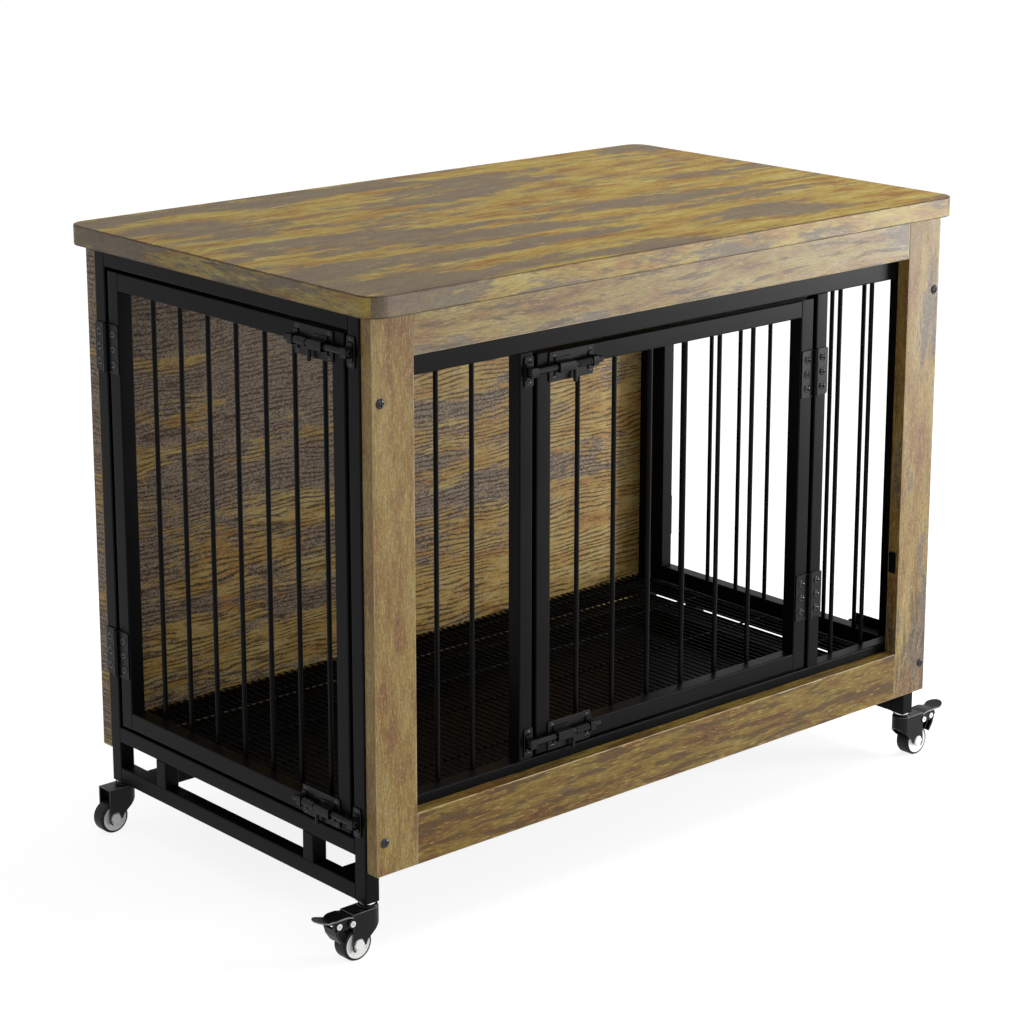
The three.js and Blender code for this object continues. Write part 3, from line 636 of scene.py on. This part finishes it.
def make_boards():
    top = board("table_top", TOP_FOIL, "z", TOP_CORNER, TOP_EDGE, 4).data
    top.materials.append(TOP_EDGE_FOIL)
    normals = np.empty(3 * len(top.polygons))
    top.polygons.foreach_get("normal", normals)
    top.polygons.foreach_set("material_index", (normals[2::3] < 0.7).astype(int))
    board("front_apron", APRON_FOIL)
    board("front_skirt", SKIRT_FOIL)
    for node in ("front_left_upright", "front_right_upright"):
        board(node, POST_FOIL)
    board("rear_panel", REAR_FOIL)
    heads = []
    left, right = corners_of("front_left_upright"), corners_of("front_right_upright")
    for x in (left[0][0] + LEFT_SCREW_INSET, right[1][0] - RIGHT_SCREW_INSET):
        for z in BOARD_SCREW_PLACES:
            heads.append(screw_head((x, left[0][1] - 0.1 * MM, LEG_FOOT + z), (0, -1, 0), BOARD_SCREW,
                                    BOARD_SCREW_HEIGHT))
    piece("upright_screws", heads, BOARD_SCREW_COAT)
    low, high = right
    foot, head = (LEG_FOOT + z for z in DARK_PLATE_SPAN)
    outline = rounded_rectangle((low[1] + 4 * MM, foot), (high[1] - 2 * MM, head), 2 * MM, 3)
    plate = slab(outline, low[0] - DARK_PLATE, low[0] - 0.05 * MM, "x", 0.4 * MM)
    piece("upright_dark_plate", [plate], HARDWARE_COAT)


# ---- steel frame

def bars_behind(places, low_z, high_z, face_y):
    """Round bars, welded behind a tube whose back is at face_y."""
    y = face_y + BAR / 2 - BAR_WELD
    return [rod(x, y, BAR / 2, low_z, high_z, "z", 0.5 * MM) for x in places]


def make_side_frame(side):
    node = f"{side}_side_frame"
    rail = corners_of("front_floor_rail")
    x0 = LEG_INSIDE if side == "right" else -LEG_INSIDE - TUBE
    x1 = x0 + TUBE
    y0, y1 = rail[0][1], corners_of("rear_floor_rail")[1][1]
    z0, z1 = LEG_FOOT, corners_of(node)[1][2]

    def tube(ya, yb, za, zb, axis):
        return bar_shape((x0, ya, za), (x1, yb, zb), axis, TUBE_CORNER, TUBE_END)

    shapes = [tube(y0, y0 + TUBE, z0, z1, "z"), tube(y1 - TUBE, y1, z0, z1, "z")]
    for z in (z0, rail[0][2], z1 - TUBE):
        shapes.append(tube(y0 + TUBE, y1 - TUBE, z, z + TUBE, "y"))
    for y in (y0 + TUBE + FOOT_POST_OFFSET, y1 - 2 * TUBE - FOOT_POST_OFFSET):
        shapes.append(tube(y, y + TUBE, z0 + TUBE, rail[0][2], "z"))
    piece(f"{side}_side_frame_tubes", shapes, FRAME_COAT, stands_for=[node])
    washers, races = [], []
    x = (x0 + x1) / 2
    for y in (y0 + TUBE / 2, y1 - TUBE / 2):
        washers.append(rod(x, y, STEM_WASHER, z0 - 2 * MM, z0 - 0.02 * MM, "z", 0.3 * MM, 32))
        races.append(revolve(np.array(RACE_PROFILE) * MM, (x, y, z0), "z"))
    piece(f"{side}_stem_washers", washers, BRIGHT_STEEL)
    piece(f"{side}_swivel_races", races, HARDWARE_COAT)


def make_single_tubes():
    for node in ("front_top_rail", "rear_top_rail", "front_floor_rail", "rear_floor_rail", "front_cross_bar",
                 "rear_cross_bar"):
        low, high = corners_of(node)
        low[0] -= CLEARANCE
        high[0] += CLEARANCE
        piece(f"{node}_tube", [bar_shape(low, high, "x", TUBE_CORNER, TUBE_END)], FRAME_COAT, stands_for=[node])


def make_front_panel():
    low, high = corners_of("front_panel_frame")
    door_low, door_high = corners_of("front_door")
    x0, x1 = low[0] - CLEARANCE, high[0] + CLEARANCE
    y0, y1 = low[1], low[1] + TUBE
    z0, z1 = low[2], high[2]
    left = door_low[0] - DOOR_SIDE_GAP - TUBE
    right = door_high[0] + DOOR_SIDE_GAP

    def tube(xa, xb, za, zb, axis):
        return bar_shape((xa, y0, za), (xb, y1, zb), axis, TUBE_CORNER, TUBE_END)

    shapes = [tube(x0, x1, z0, z0 + TUBE, "x"), tube(x0, x1, z1 - PANEL_TOP_RAIL, z1, "x")]
    for x in (left, right):
        shapes.append(tube(x, x + TUBE, z0 + TUBE, z1 - PANEL_TOP_RAIL, "z"))
    pitch = (left - x0) / (LEFT_BAY_BARS + 1)
    places = [x0 + pitch * (i + 1) for i in range(LEFT_BAY_BARS)]
    places += [right + TUBE + RIGHT_BAY_FIRST_BAR + RIGHT_BAY_BAR_PITCH * i for i in range(RIGHT_BAY_BARS)]
    shapes += bars_behind(places, z0 + TUBE - BAR_LAP, z1 - PANEL_TOP_RAIL + BAR_LAP, y1)
    piece("front_panel_frame_tubes", shapes, FRAME_COAT, stands_for=["front_panel_frame"])


# ---- wire floor and tray

def make_wire_floor():
    low, high = corners_of("wire_floor")
    cross_z = low[2] + CROSS_WIRE / 2
    wire_z = high[2] - WIRE / 2
    count = int((high[0] - low[0] - CROSS_WIRE) / WIRE_PITCH)
    first = -WIRE_PITCH * count / 2
    shapes = [rod(first + WIRE_PITCH * i, wire_z, WIRE / 2, low[1], high[1], "y", 0, WIRE_SIDES)
              for i in range(count + 1)]
    for y in np.linspace(low[1] + CROSS_WIRE_INSET, high[1] - CROSS_WIRE_INSET, CROSS_WIRES):
        shapes.append(rod(y, cross_z, CROSS_WIRE / 2, low[0], high[0], "x", 0, WIRE_SIDES))
    piece("wire_floor_mesh", shapes, WIRE_COAT, stands_for=["wire_floor"])


def make_tray():
    """Pan with rounded corners and a wide turned-out rim: rings go up the outside, over the rim and down the
    inside. The rim fills the frame under the floor rails."""
    low, _ = corners_of("drop_in_tray")
    rail_low, rail_high = corners_of("front_floor_rail")
    rear_rail, front_bar, rear_bar = map(corners_of, ("rear_floor_rail", "front_cross_bar", "rear_cross_bar"))
    pan_low = np.array([rail_low[0] + TRAY_SIDE_GAP, front_bar[0][1]])
    pan_high = np.array([rail_high[0] - TRAY_SIDE_GAP, rear_bar[1][1]])
    rim_low = np.array([rail_low[0] + TRAY_GAP, rail_high[1] + TRAY_GAP])
    rim_high = np.array([rail_high[0] - TRAY_GAP, rear_rail[0][1] - TRAY_GAP])
    bottom, top, sheet = low[2], rail_low[2] - CLEARANCE, TRAY_SHEET
    outside = [(4, 0, 14), (1, 1, 18), (0, 4, 20)]          # mm: in from the wall, up from below, corner radius
    inside = [(1.5, 5, 18), (3, 2.5, 16), (6, 1.5, 13)]
    lip = [(0.4 * MM, top - sheet), (0.0, top - sheet / 2), (0.4 * MM, top)]

    def pan_ring(away, z, radius):
        return on_axis("z", rounded_rectangle(pan_low + away, pan_high - away, radius, 6), z)

    rings = [pan_ring(a * MM, bottom + z * MM, r * MM) for a, z, r in outside]
    rings += [pan_ring(-1 * MM, top - sheet - 1 * MM, 21 * MM), pan_ring(-2.5 * MM, top - sheet, 22 * MM)]
    rings += [on_axis("z", rounded_rectangle(rim_low + a, rim_high - a, 8 * MM, 6), z) for a, z in lip]
    rings += [pan_ring(-1.5 * MM, top, 21 * MM), pan_ring(0.5 * MM, top - 1.5 * MM, 20 * MM)]
    rings += [pan_ring(a * MM, bottom + z * MM, r * MM) for a, z, r in inside]
    piece("drop_in_tray_pan", [loft(rings)], TRAY_PLASTIC, stands_for=["drop_in_tray"])


# ---- doors

class Door:
    """A door's own directions: along from its latch edge to its hinge edge, inward from its face, and up."""

    def __init__(self, side):
        self.side = side
        low, high = corners_of(f"{side}_door")
        self.origin = np.array([high[0] if side == "right" else low[0], low[1], low[2]])
        self.along = (1, 0, 0) if side == "front" else (0, 1, 0)
        self.inward = {"front": (0, 1, 0), "left": (1, 0, 0), "right": (-1, 0, 0)}[side]
        self.width, _, self.height = self.box(f"{side}_door")[1]

    def box(self, node):
        """Lowest and highest corner of a CAD node in the door's directions."""
        corners = np.array(corners_of(node)) - self.origin
        local = corners @ np.array([self.along, self.inward, (0, 0, 1)], float).T
        return local.min(0), local.max(0)

    def piece(self, name, shapes, material, body, stands_for=(), slot="hardware_steel"):
        return piece(f"{self.side}_{name}", placed(shapes, self.origin, self.along, self.inward), material, body,
                     stands_for)


def make_door(door, count, pitch):
    w, h, f, c = door.width, door.height, DOOR_FACE, TUBE_CORNER
    shapes = [
        bar_shape((0, 0, 0), (f, TUBE, h), "z", c, TUBE_END),
        bar_shape((w - f, 0, 0), (w, TUBE, h), "z", c, TUBE_END),
        bar_shape((f, 0, 0), (w - f, TUBE, f), "x", c),
        bar_shape((f, 0, h - f), (w - f, TUBE, h), "x", c),
    ]
    places = [w / 2 + pitch * (i - (count - 1) / 2) for i in range(count)]
    shapes += bars_behind(places, f - BAR_LAP, h - f + BAR_LAP, TUBE)
    door.piece("door_frame_and_bars", shapes, FRAME_COAT, f"{door.side}_door", [f"{door.side}_door"], "frame_steel")


def make_hinge(door, level):
    """Butt hinge: two pressed leaves with three domed screws each, and three rolled knuckles."""
    frame_node, door_node = (f"{door.side}_hinge_{level}_{part}_leaf" for part in ("frame", "door"))
    frame_low, frame_high = door.box(frame_node)
    door_low, _ = door.box(door_node)
    axis_x, axis_y = frame_low[0] + KNUCKLE, frame_low[1] + KNUCKLE
    face = frame_high[1]
    low_z, high_z = frame_low[2], frame_high[2]
    third = (high_z - low_z) / 3

    def leaf(x0, x1):
        outline = rounded_rectangle((x0, low_z), (x1, high_z), 2.5 * MM, 4)
        return slab(outline, face - PRESSED_SHEET, face, "y", PRESSED_EDGE)

    def knuckle(z0, z1):
        return rod(axis_x, axis_y, KNUCKLE, z0, z1, "z", 0.25 * MM, 24)

    def heads(x):
        middle = (low_z + high_z) / 2
        return [screw_head((x, face - PRESSED_SHEET + 0.1 * MM, middle + step), (0, -1, 0), HINGE_SCREW,
                           HINGE_SCREW_HEIGHT, 0.11) for step in (-HINGE_SCREW_PITCH, 0, HINGE_SCREW_PITCH)]

    frame_shapes = [leaf(axis_x + LEAF_FROM_PIN, frame_high[0]), knuckle(low_z, low_z + third - KNUCKLE_GAP),
                    knuckle(high_z - third + KNUCKLE_GAP, high_z)]
    door_shapes = [leaf(door_low[0], axis_x - LEAF_FROM_PIN),
                   knuckle(low_z + third + KNUCKLE_GAP, high_z - third - KNUCKLE_GAP)]
    door.piece(f"hinge_{level}_frame_half", frame_shapes, HARDWARE_COAT, "root", [frame_node])
    door.piece(f"hinge_{level}_door_half", door_shapes, HARDWARE_COAT, f"{door.side}_door", [door_node])
    door.piece(f"hinge_{level}_frame_screws", heads(frame_high[0] - HINGE_SCREW_INSET), DOME_SCREW_COAT, "root")
    door.piece(f"hinge_{level}_door_screws", heads(door_low[0] + HINGE_SCREW_INSET), DOME_SCREW_COAT,
               f"{door.side}_door")


def strap(x0, x1, y, z, foot):
    """Folded guide round a bolt's axis at y, z: a flat face with 1.2 mm chamfers, two walls down to the sheet at
    foot, and turned-out lips."""
    inner, wall = BOLT + BOLT_PLAY, GUIDE_WALL
    outer, lip, cut = inner + wall, 4.5 * MM, 1.2 * MM
    depth = foot - y
    half = [(outer + lip, depth), (outer + lip, depth - wall), (outer, depth - wall), (outer, cut - outer),
            (outer - cut, -outer)]
    hollow = [(inner, depth), (inner, 0.6 * cut - inner), (inner - 0.6 * cut, -inner)]
    outline = half + [(-a, b) for a, b in half[::-1]]
    outline += [(-a, b) for a, b in hollow] + hollow[::-1]
    across = np.array([(y + b, z + a) for a, b in outline])
    return slab(across, x0, x1, "x")


def make_latch(door, level):
    """Barrel latch: a plate with a long and a short folded guide, a round bolt with a turned-down handle and a
    dark spring, and a keeper on the post."""
    plate_node, bolt_node, keeper_node = (f"{door.side}_latch_{level}_{p}" for p in ("plate", "bolt", "keeper"))
    plate_low, plate_high = door.box(plate_node)
    bolt_low, bolt_high = door.box(bolt_node)
    keeper_low, keeper_high = door.box(keeper_node)
    body = f"{door.side}_door"
    face = plate_high[1]
    foot = face - PRESSED_SHEET
    z = (plate_low[2] + plate_high[2]) / 2
    y = bolt_high[1] - BOLT

    def flat(low, high):
        outline = rounded_rectangle((low[0], low[2]), (high[0], high[2]), 2 * MM, 4)
        return slab(outline, foot, face, "y", PRESSED_EDGE)

    def screws(places, step):
        return [screw_head((x, foot, z + dz), (0, -1, 0), LATCH_SCREW, LATCH_SCREW_HEIGHT)
                for x in places for dz in (-step, step)]

    plate = [flat(plate_low, plate_high), strap(*(plate_low[0] + x for x in LONG_GUIDE), y, z, foot),
             strap(plate_high[0] - SHORT_GUIDE, plate_high[0], y, z, foot)]
    door.piece(f"latch_{level}_guide_plate", plate, HARDWARE_COAT, body, [plate_node])
    keeper = [flat(keeper_low, keeper_high),
              strap(keeper_low[0] + KEEPER_MARGIN, keeper_high[0] - KEEPER_MARGIN, y, z, foot)]
    door.piece(f"latch_{level}_keeper_strap", keeper, HARDWARE_COAT, "root", [keeper_node])

    handle_x = plate_low[0] + HANDLE_PLACE
    bolt = [rod(y, z, BOLT, bolt_low[0], bolt_high[0], "x", BOLT_EDGE, 24),
            rod(handle_x, y, HANDLE, bolt_low[2], z - 1 * MM, "z", BOLT_EDGE, 16)]
    door.piece(f"latch_{level}_bolt_rod", bolt, HARDWARE_COAT, f"{door.side}_{level}_bolt", [bolt_node],
               "bolt_steel")
    spring_end = plate_high[0] - SHORT_GUIDE - SPRING_FROM_GUIDE
    spring = coil(y, z, BOLT + SPRING_PLAY, SPRING_WIRE, handle_x + SPRING_FROM_HANDLE, spring_end, SPRING_TURNS)
    made = door.piece(f"latch_{level}_spring", [spring], SPRING_COAT, body, slot="bolt_steel")
    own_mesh(made)
    plate_screws = screws((plate_low[0] + LATCH_SCREW_INSET, plate_high[0] - LATCH_SCREW_INSET), PLATE_SCREW_STEP)
    door.piece(f"latch_{level}_plate_screws", plate_screws, DOME_SCREW_COAT, body)
    keeper_screws = screws(((keeper_low[0] + keeper_high[0]) / 2,), KEEPER_SCREW_STEP)
    door.piece(f"latch_{level}_keeper_screws", keeper_screws, DOME_SCREW_COAT, "root")


# ---- casters

def fork_plan(half, end):
    """Half circle round the swivel axis, then straight sides to u = end."""
    nose = half * arc(np.linspace(math.pi / 2, 1.5 * math.pi, 25))
    return np.concatenate([[(end, half)], nose, [(end, -half)]])


def cheek_outline():
    """Side view of a fork cheek: its front slopes back to a short prong, and a mouth with a hook behind it
    goes three quarters of a circle round the axle's head."""
    u, z, r = WHEEL_TRAIL, -AXLE_DROP, 7.8 * MM
    mouth = (u, z) + r * arc(np.radians(np.linspace(300, 555, 18)))
    back = np.array([(0, -5.8), (29.6, -5.8), (30, -6.6), (30, -29), (31.4, -42), (30.8, -48), (28.4, -51.8)]) * MM
    prong = np.array([(12, -46.2), (9.4, -40.5), (3.4, -35.7), (0, -32.7)]) * MM
    return np.concatenate([back, mouth, prong])


def folded_fork(braked):
    """One folded sheet: a top plate, two cheeks, and a rounded front whose lower edge slopes at 0.894."""
    outer, inner, top = FORK_GAP + FORK_SHEET, FORK_GAP, -FORK_TOP
    shapes = [slab(fork_plan(outer, FORK_END), top - FORK_SHEET, top, "z", 0.9 * MM)]
    for v in (-outer, inner):
        shapes.append(slab(cheek_outline(), v, v + FORK_SHEET, "y", 0.3 * MM))
    rings = []
    for t in np.linspace(math.pi / 2, 1.5 * math.pi, 25):
        section = [(outer, top - 0.9 * MM), (outer, None), (inner, None), (inner, top - 0.9 * MM)]
        ring = []
        for radius, z in section:
            u = radius * math.cos(t)
            ring.append((u, radius * math.sin(t), -32.66 * MM - 0.894 * u if z is None else z))
        rings.append(ring)
    shapes.append(loft(rings))
    if braked:
        u, z = PEDAL_PIVOT
        for v in (-outer, inner):
            shapes.append(rod(u, z, 5.2 * MM, v, v + FORK_SHEET, "y", 0.3 * MM, 24))
    return shapes


def pedal_tread():
    """Pressed tread: sections across it, a rounded strip 2 mm thick whose half width follows the plan (full,
    necked at 57 mm, full, then a half circle of a toe) and whose height follows the side view."""
    half = FORK_GAP + FORK_SHEET
    straight = np.array([30.3, 34, 38, 43, 48, 52, 55, 57, 59, 62]) * MM
    toe_centre = PEDAL_REACH - half
    turn = np.linspace(0, math.pi / 2, 11)
    places = np.concatenate([straight, toe_centre + half * np.sin(turn)])
    width = np.interp(places, np.array([30, 51, 57, 64.4]) * MM, np.array([half, half, half - 3 * MM, half]))
    width[len(straight):] = np.maximum(half * np.cos(turn), 0.8 * MM)
    height = np.interp(places, np.array([30, 38, 48, 56, 64, 77]) * MM,
                       np.array([-7.4, -5.5, -5.3, -6.8, -5.3, -1.7]) * MM)
    rings, wear_and_highlight = [], []
    for u, w, z in zip(places, width, height):
        section = rounded_rectangle((-w, z - PEDAL_SHEET), (w, z), 0.7 * MM, 3)
        rings.append(on_axis("x", section, u))
        # the tread's edges carry the painted highlight
        wear_and_highlight.append(np.abs(section[:, 0]) > w - 0.6 * MM)
    points, faces = loft(rings)
    return points, faces, np.concatenate(wear_and_highlight).astype(float) * 0.8


def pedal_shapes():
    """Tread, two cheeks inside the fork's ears, the brake shoe as three fingers under a bridge, and the pin."""
    inner = FORK_GAP - CLEARANCE
    side = np.array([(27.5, -12.4), (32.5, -8.4), (56, -8.2), (58, -13), (54, -20), (36.5, -21),
                     (28.5, -19)]) * MM
    shapes = [pedal_tread(), slab(side, -inner, -inner + PEDAL_SHEET, "y", 0.3 * MM),
              slab(side, inner - PEDAL_SHEET, inner, "y", 0.3 * MM)]
    bridge = np.array([(52, -17), (56, -17), (53.6, -25), (51.2, -24.4)]) * MM
    finger = np.array([(51.4, -23), (54, -24), (53, -27), (46.5, -36.5), (44.8, -35), (50.5, -26.5)]) * MM
    shapes.append(slab(bridge, -inner, inner, "y", 0.3 * MM))
    for v in (-inner, -3.1 * MM, 4.1 * MM):
        shapes.append(slab(finger, v, v + 6.2 * MM, "y", 0.3 * MM))
    shapes.append(rod(*PEDAL_PIVOT, 2.2 * MM, -12.6 * MM, 12.6 * MM, "y", 0, 16))
    return shapes


def rivet_heads(place, face):
    """Flat white heads on both sides, and the grey punched ends in them."""
    def pair(radius, height, edge, sides):
        spans = [sorted((sign * face, sign * (face + height))) for sign in (-1, 1)]
        return [rod(*place, radius, low, high, "y", edge, sides) for low, high in spans]

    return pair(3.7 * MM, 1.1 * MM, 0.35 * MM, 28), pair(1.7 * MM, 1.25 * MM, 0.2 * MM, 20)


def make_caster(corner, x, y, sign, braked):
    """A caster in its own directions, u along sign times X."""
    fork, wheel, pedal = (f"caster_{corner}_{part}" for part in ("fork", "wheel", "brake_pedal"))
    fork_body, wheel_body, pedal_body = f"{corner}_caster_fork", f"{corner}_caster_wheel", f"{corner}_brake_pedal"

    def put(shapes):
        return placed(shapes, (x, y, LEG_FOOT), (sign, 0, 0), (0, sign, 0))

    piece(f"{fork}_sheet", put(folded_fork(braked)), CASTER_COAT, fork_body, [fork])
    axle = (WHEEL_TRAIL, 0, -AXLE_DROP)
    half, r = WHEEL_HALF, WHEEL_RADIUS
    tread = [(HUB_RADIUS, half), (r - 2.2 * MM, half), (r - 0.8 * MM, half - 0.8 * MM), (r, half - 2.4 * MM)]
    dish = [(3 * MM, 8.2 * MM), (9.5 * MM, 8.2 * MM), (10.5 * MM, 9.2 * MM), (15 * MM, 9.2 * MM),
            (HUB_RADIUS - 0.6 * MM, 9.9 * MM), (HUB_RADIUS + 0.4 * MM, 9.9 * MM)]
    tyre, hub = ([(radius, -height) for radius, height in side] + side[::-1] for side in (tread, dish))
    piece(f"{wheel}_tyre", put([revolve(tyre, axle, "y", 48, True)]), TYRE, wheel_body, [wheel])
    head = rod(WHEEL_TRAIL, -AXLE_DROP, 7.2 * MM, -13.4 * MM, 13.4 * MM, "y", 0.8 * MM, 6)
    piece(f"{wheel}_hub", put([revolve(hub, axle, "y", 48), head]), NYLON, wheel_body)
    if braked:
        piece(f"{pedal}_pressing", put(pedal_shapes()), CASTER_COAT, pedal_body, [pedal])
        heads, ends = rivet_heads(PEDAL_PIVOT, FORK_GAP + FORK_SHEET + CLEARANCE)
        more_heads, more_ends = rivet_heads(PEDAL_RIVET, FORK_GAP - CLEARANCE)
        piece(f"{pedal}_rivets", put(heads + more_heads), NYLON, pedal_body)
        piece(f"{pedal}_rivet_ends", put(ends + more_ends), RIVET_FACE, pedal_body)


def make_casters():
    front_y = corners_of("front_floor_rail")[0][1] + TUBE / 2
    rear_y = corners_of("rear_floor_rail")[1][1] - TUBE / 2
    for sign, side in ((-1, "left"), (1, "right")):
        x = sign * (LEG_INSIDE + TUBE / 2)
        make_caster(f"front_{side}", x, front_y, sign, True)
        make_caster(f"rear_{side}", x, rear_y, sign, False)


# ---- studio

def direct_view(tree):
    """1 where the studio is seen straight or mirrored, and 0 where it only lights the object."""
    ray = add(tree, "LightPath")
    return ray, maths(tree, "MAXIMUM", ray.outputs["Is Camera Ray"], ray.outputs["Is Glossy Ray"])


def make_studio():
    """A pale floor, a white world and three softboxes, none of which is part of the object."""
    scene = bpy.context.scene
    size = FLOOR_HALF
    floor_mesh = bpy.data.meshes.new("studio_floor")
    floor_mesh.from_pydata([(-size, -size, 0), (size, -size, 0), (size, size, 0), (-size, size, 0)], [],
                           [(0, 1, 2, 3)])
    floor = bpy.data.objects.new("studio_floor", floor_mesh)
    scene.collection.objects.link(floor)
    material = bpy.data.materials.new("pale_studio_floor")
    tree = empty_tree(material)
    _, seen = direct_view(tree)
    matt = add(tree, "BsdfDiffuse", {"Color": (0.9, 0.9, 0.9, 1)})
    glow = add(tree, "Emission", {"Color": (1, 1, 1, 1), "Strength": FLOOR_GLOW})
    shaded = add(tree, "BsdfDiffuse", {"Color": (0.40, 0.40, 0.40, 1)})
    both = add(tree, "AddShader", {0: shaded.outputs[0], 1: glow.outputs[0]})
    mixed = add(tree, "MixShader", {0: seen, 1: matt.outputs[0], 2: both.outputs[0]})
    add(tree, "OutputMaterial", {"Surface": mixed.outputs[0]})
    floor_mesh.materials.append(material)

    scene.world = bpy.data.worlds.new("studio_world")
    tree = empty_tree(scene.world)
    ray, seen = direct_view(tree)
    seen = maths(tree, "MAXIMUM", seen, ray.outputs["Is Transmission Ray"])
    soft = add(tree, "Background", {"Color": (1, 1, 1, 1), "Strength": WORLD_LIGHT})
    white = add(tree, "Background", {"Color": (1, 1, 1, 1), "Strength": 1.0})
    mixed = add(tree, "MixShader", {0: seen, 1: soft.outputs[0], 2: white.outputs[0]})
    add(tree, "OutputWorld", {"Surface": mixed.outputs[0]})

    for name, place, aim, (width, height), power in SOFTBOXES:
        light = bpy.data.lights.new(name, "AREA")
        light.shape, light.size, light.size_y, light.energy = "RECTANGLE", width, height, power
        lamp = bpy.data.objects.new(name, light)
        scene.collection.objects.link(lamp)
        lamp.location = place
        lamp.rotation_euler = (Vector(aim) - Vector(place)).to_track_quat("-Z", "Y").to_euler()

    scene.view_settings.view_transform = "Standard"


def make_camera():
    """The photograph's camera: its place, heading, tilt and focal length in pixels of a 1024 pixel square."""
    scene = bpy.context.scene
    picture, focal, axis_row = 1024, 2774.77, 400
    place = Vector((-2.2683, -2.5357, 1.3753))
    heading, tilt, roll = 0.7255, -0.2450, 0.0008
    ahead = Vector((math.sin(heading) * math.cos(tilt), math.cos(heading) * math.cos(tilt), math.sin(tilt)))
    right = Vector((math.cos(heading), -math.sin(heading), 0))
    up = right.cross(ahead)
    right, up = right * math.cos(roll) + up * math.sin(roll), up * math.cos(roll) - right * math.sin(roll)
    camera = bpy.data.objects.new("camera", bpy.data.cameras.new("camera"))
    camera.data.sensor_width = 36
    camera.data.lens = 36 * focal / picture
    camera.data.shift_y = -(picture / 2 - axis_row) / picture
    turn = Matrix([right, up, -ahead]).transposed().to_4x4()
    camera.matrix_world = Matrix.Translation(place) @ turn
    camera.data.clip_start, camera.data.clip_end = 0.05, 60
    scene.collection.objects.link(camera)
    scene.camera = camera


make_camera()
make_boards()
make_single_tubes()
make_side_frame("left")
make_side_frame("right")
make_front_panel()
make_wire_floor()
make_tray()
for side_name in ("front", "left", "right"):
    hung = Door(side_name)
    if side_name == "front":
        make_door(hung, FRONT_DOOR_BARS, FRONT_BAR_PITCH)
    else:
        make_door(hung, SIDE_DOOR_BARS, SIDE_BAR_PITCH)
    for level_name in ("upper", "lower"):
        make_hinge(hung, level_name)
        make_latch(hung, level_name)
make_casters()
make_studio()
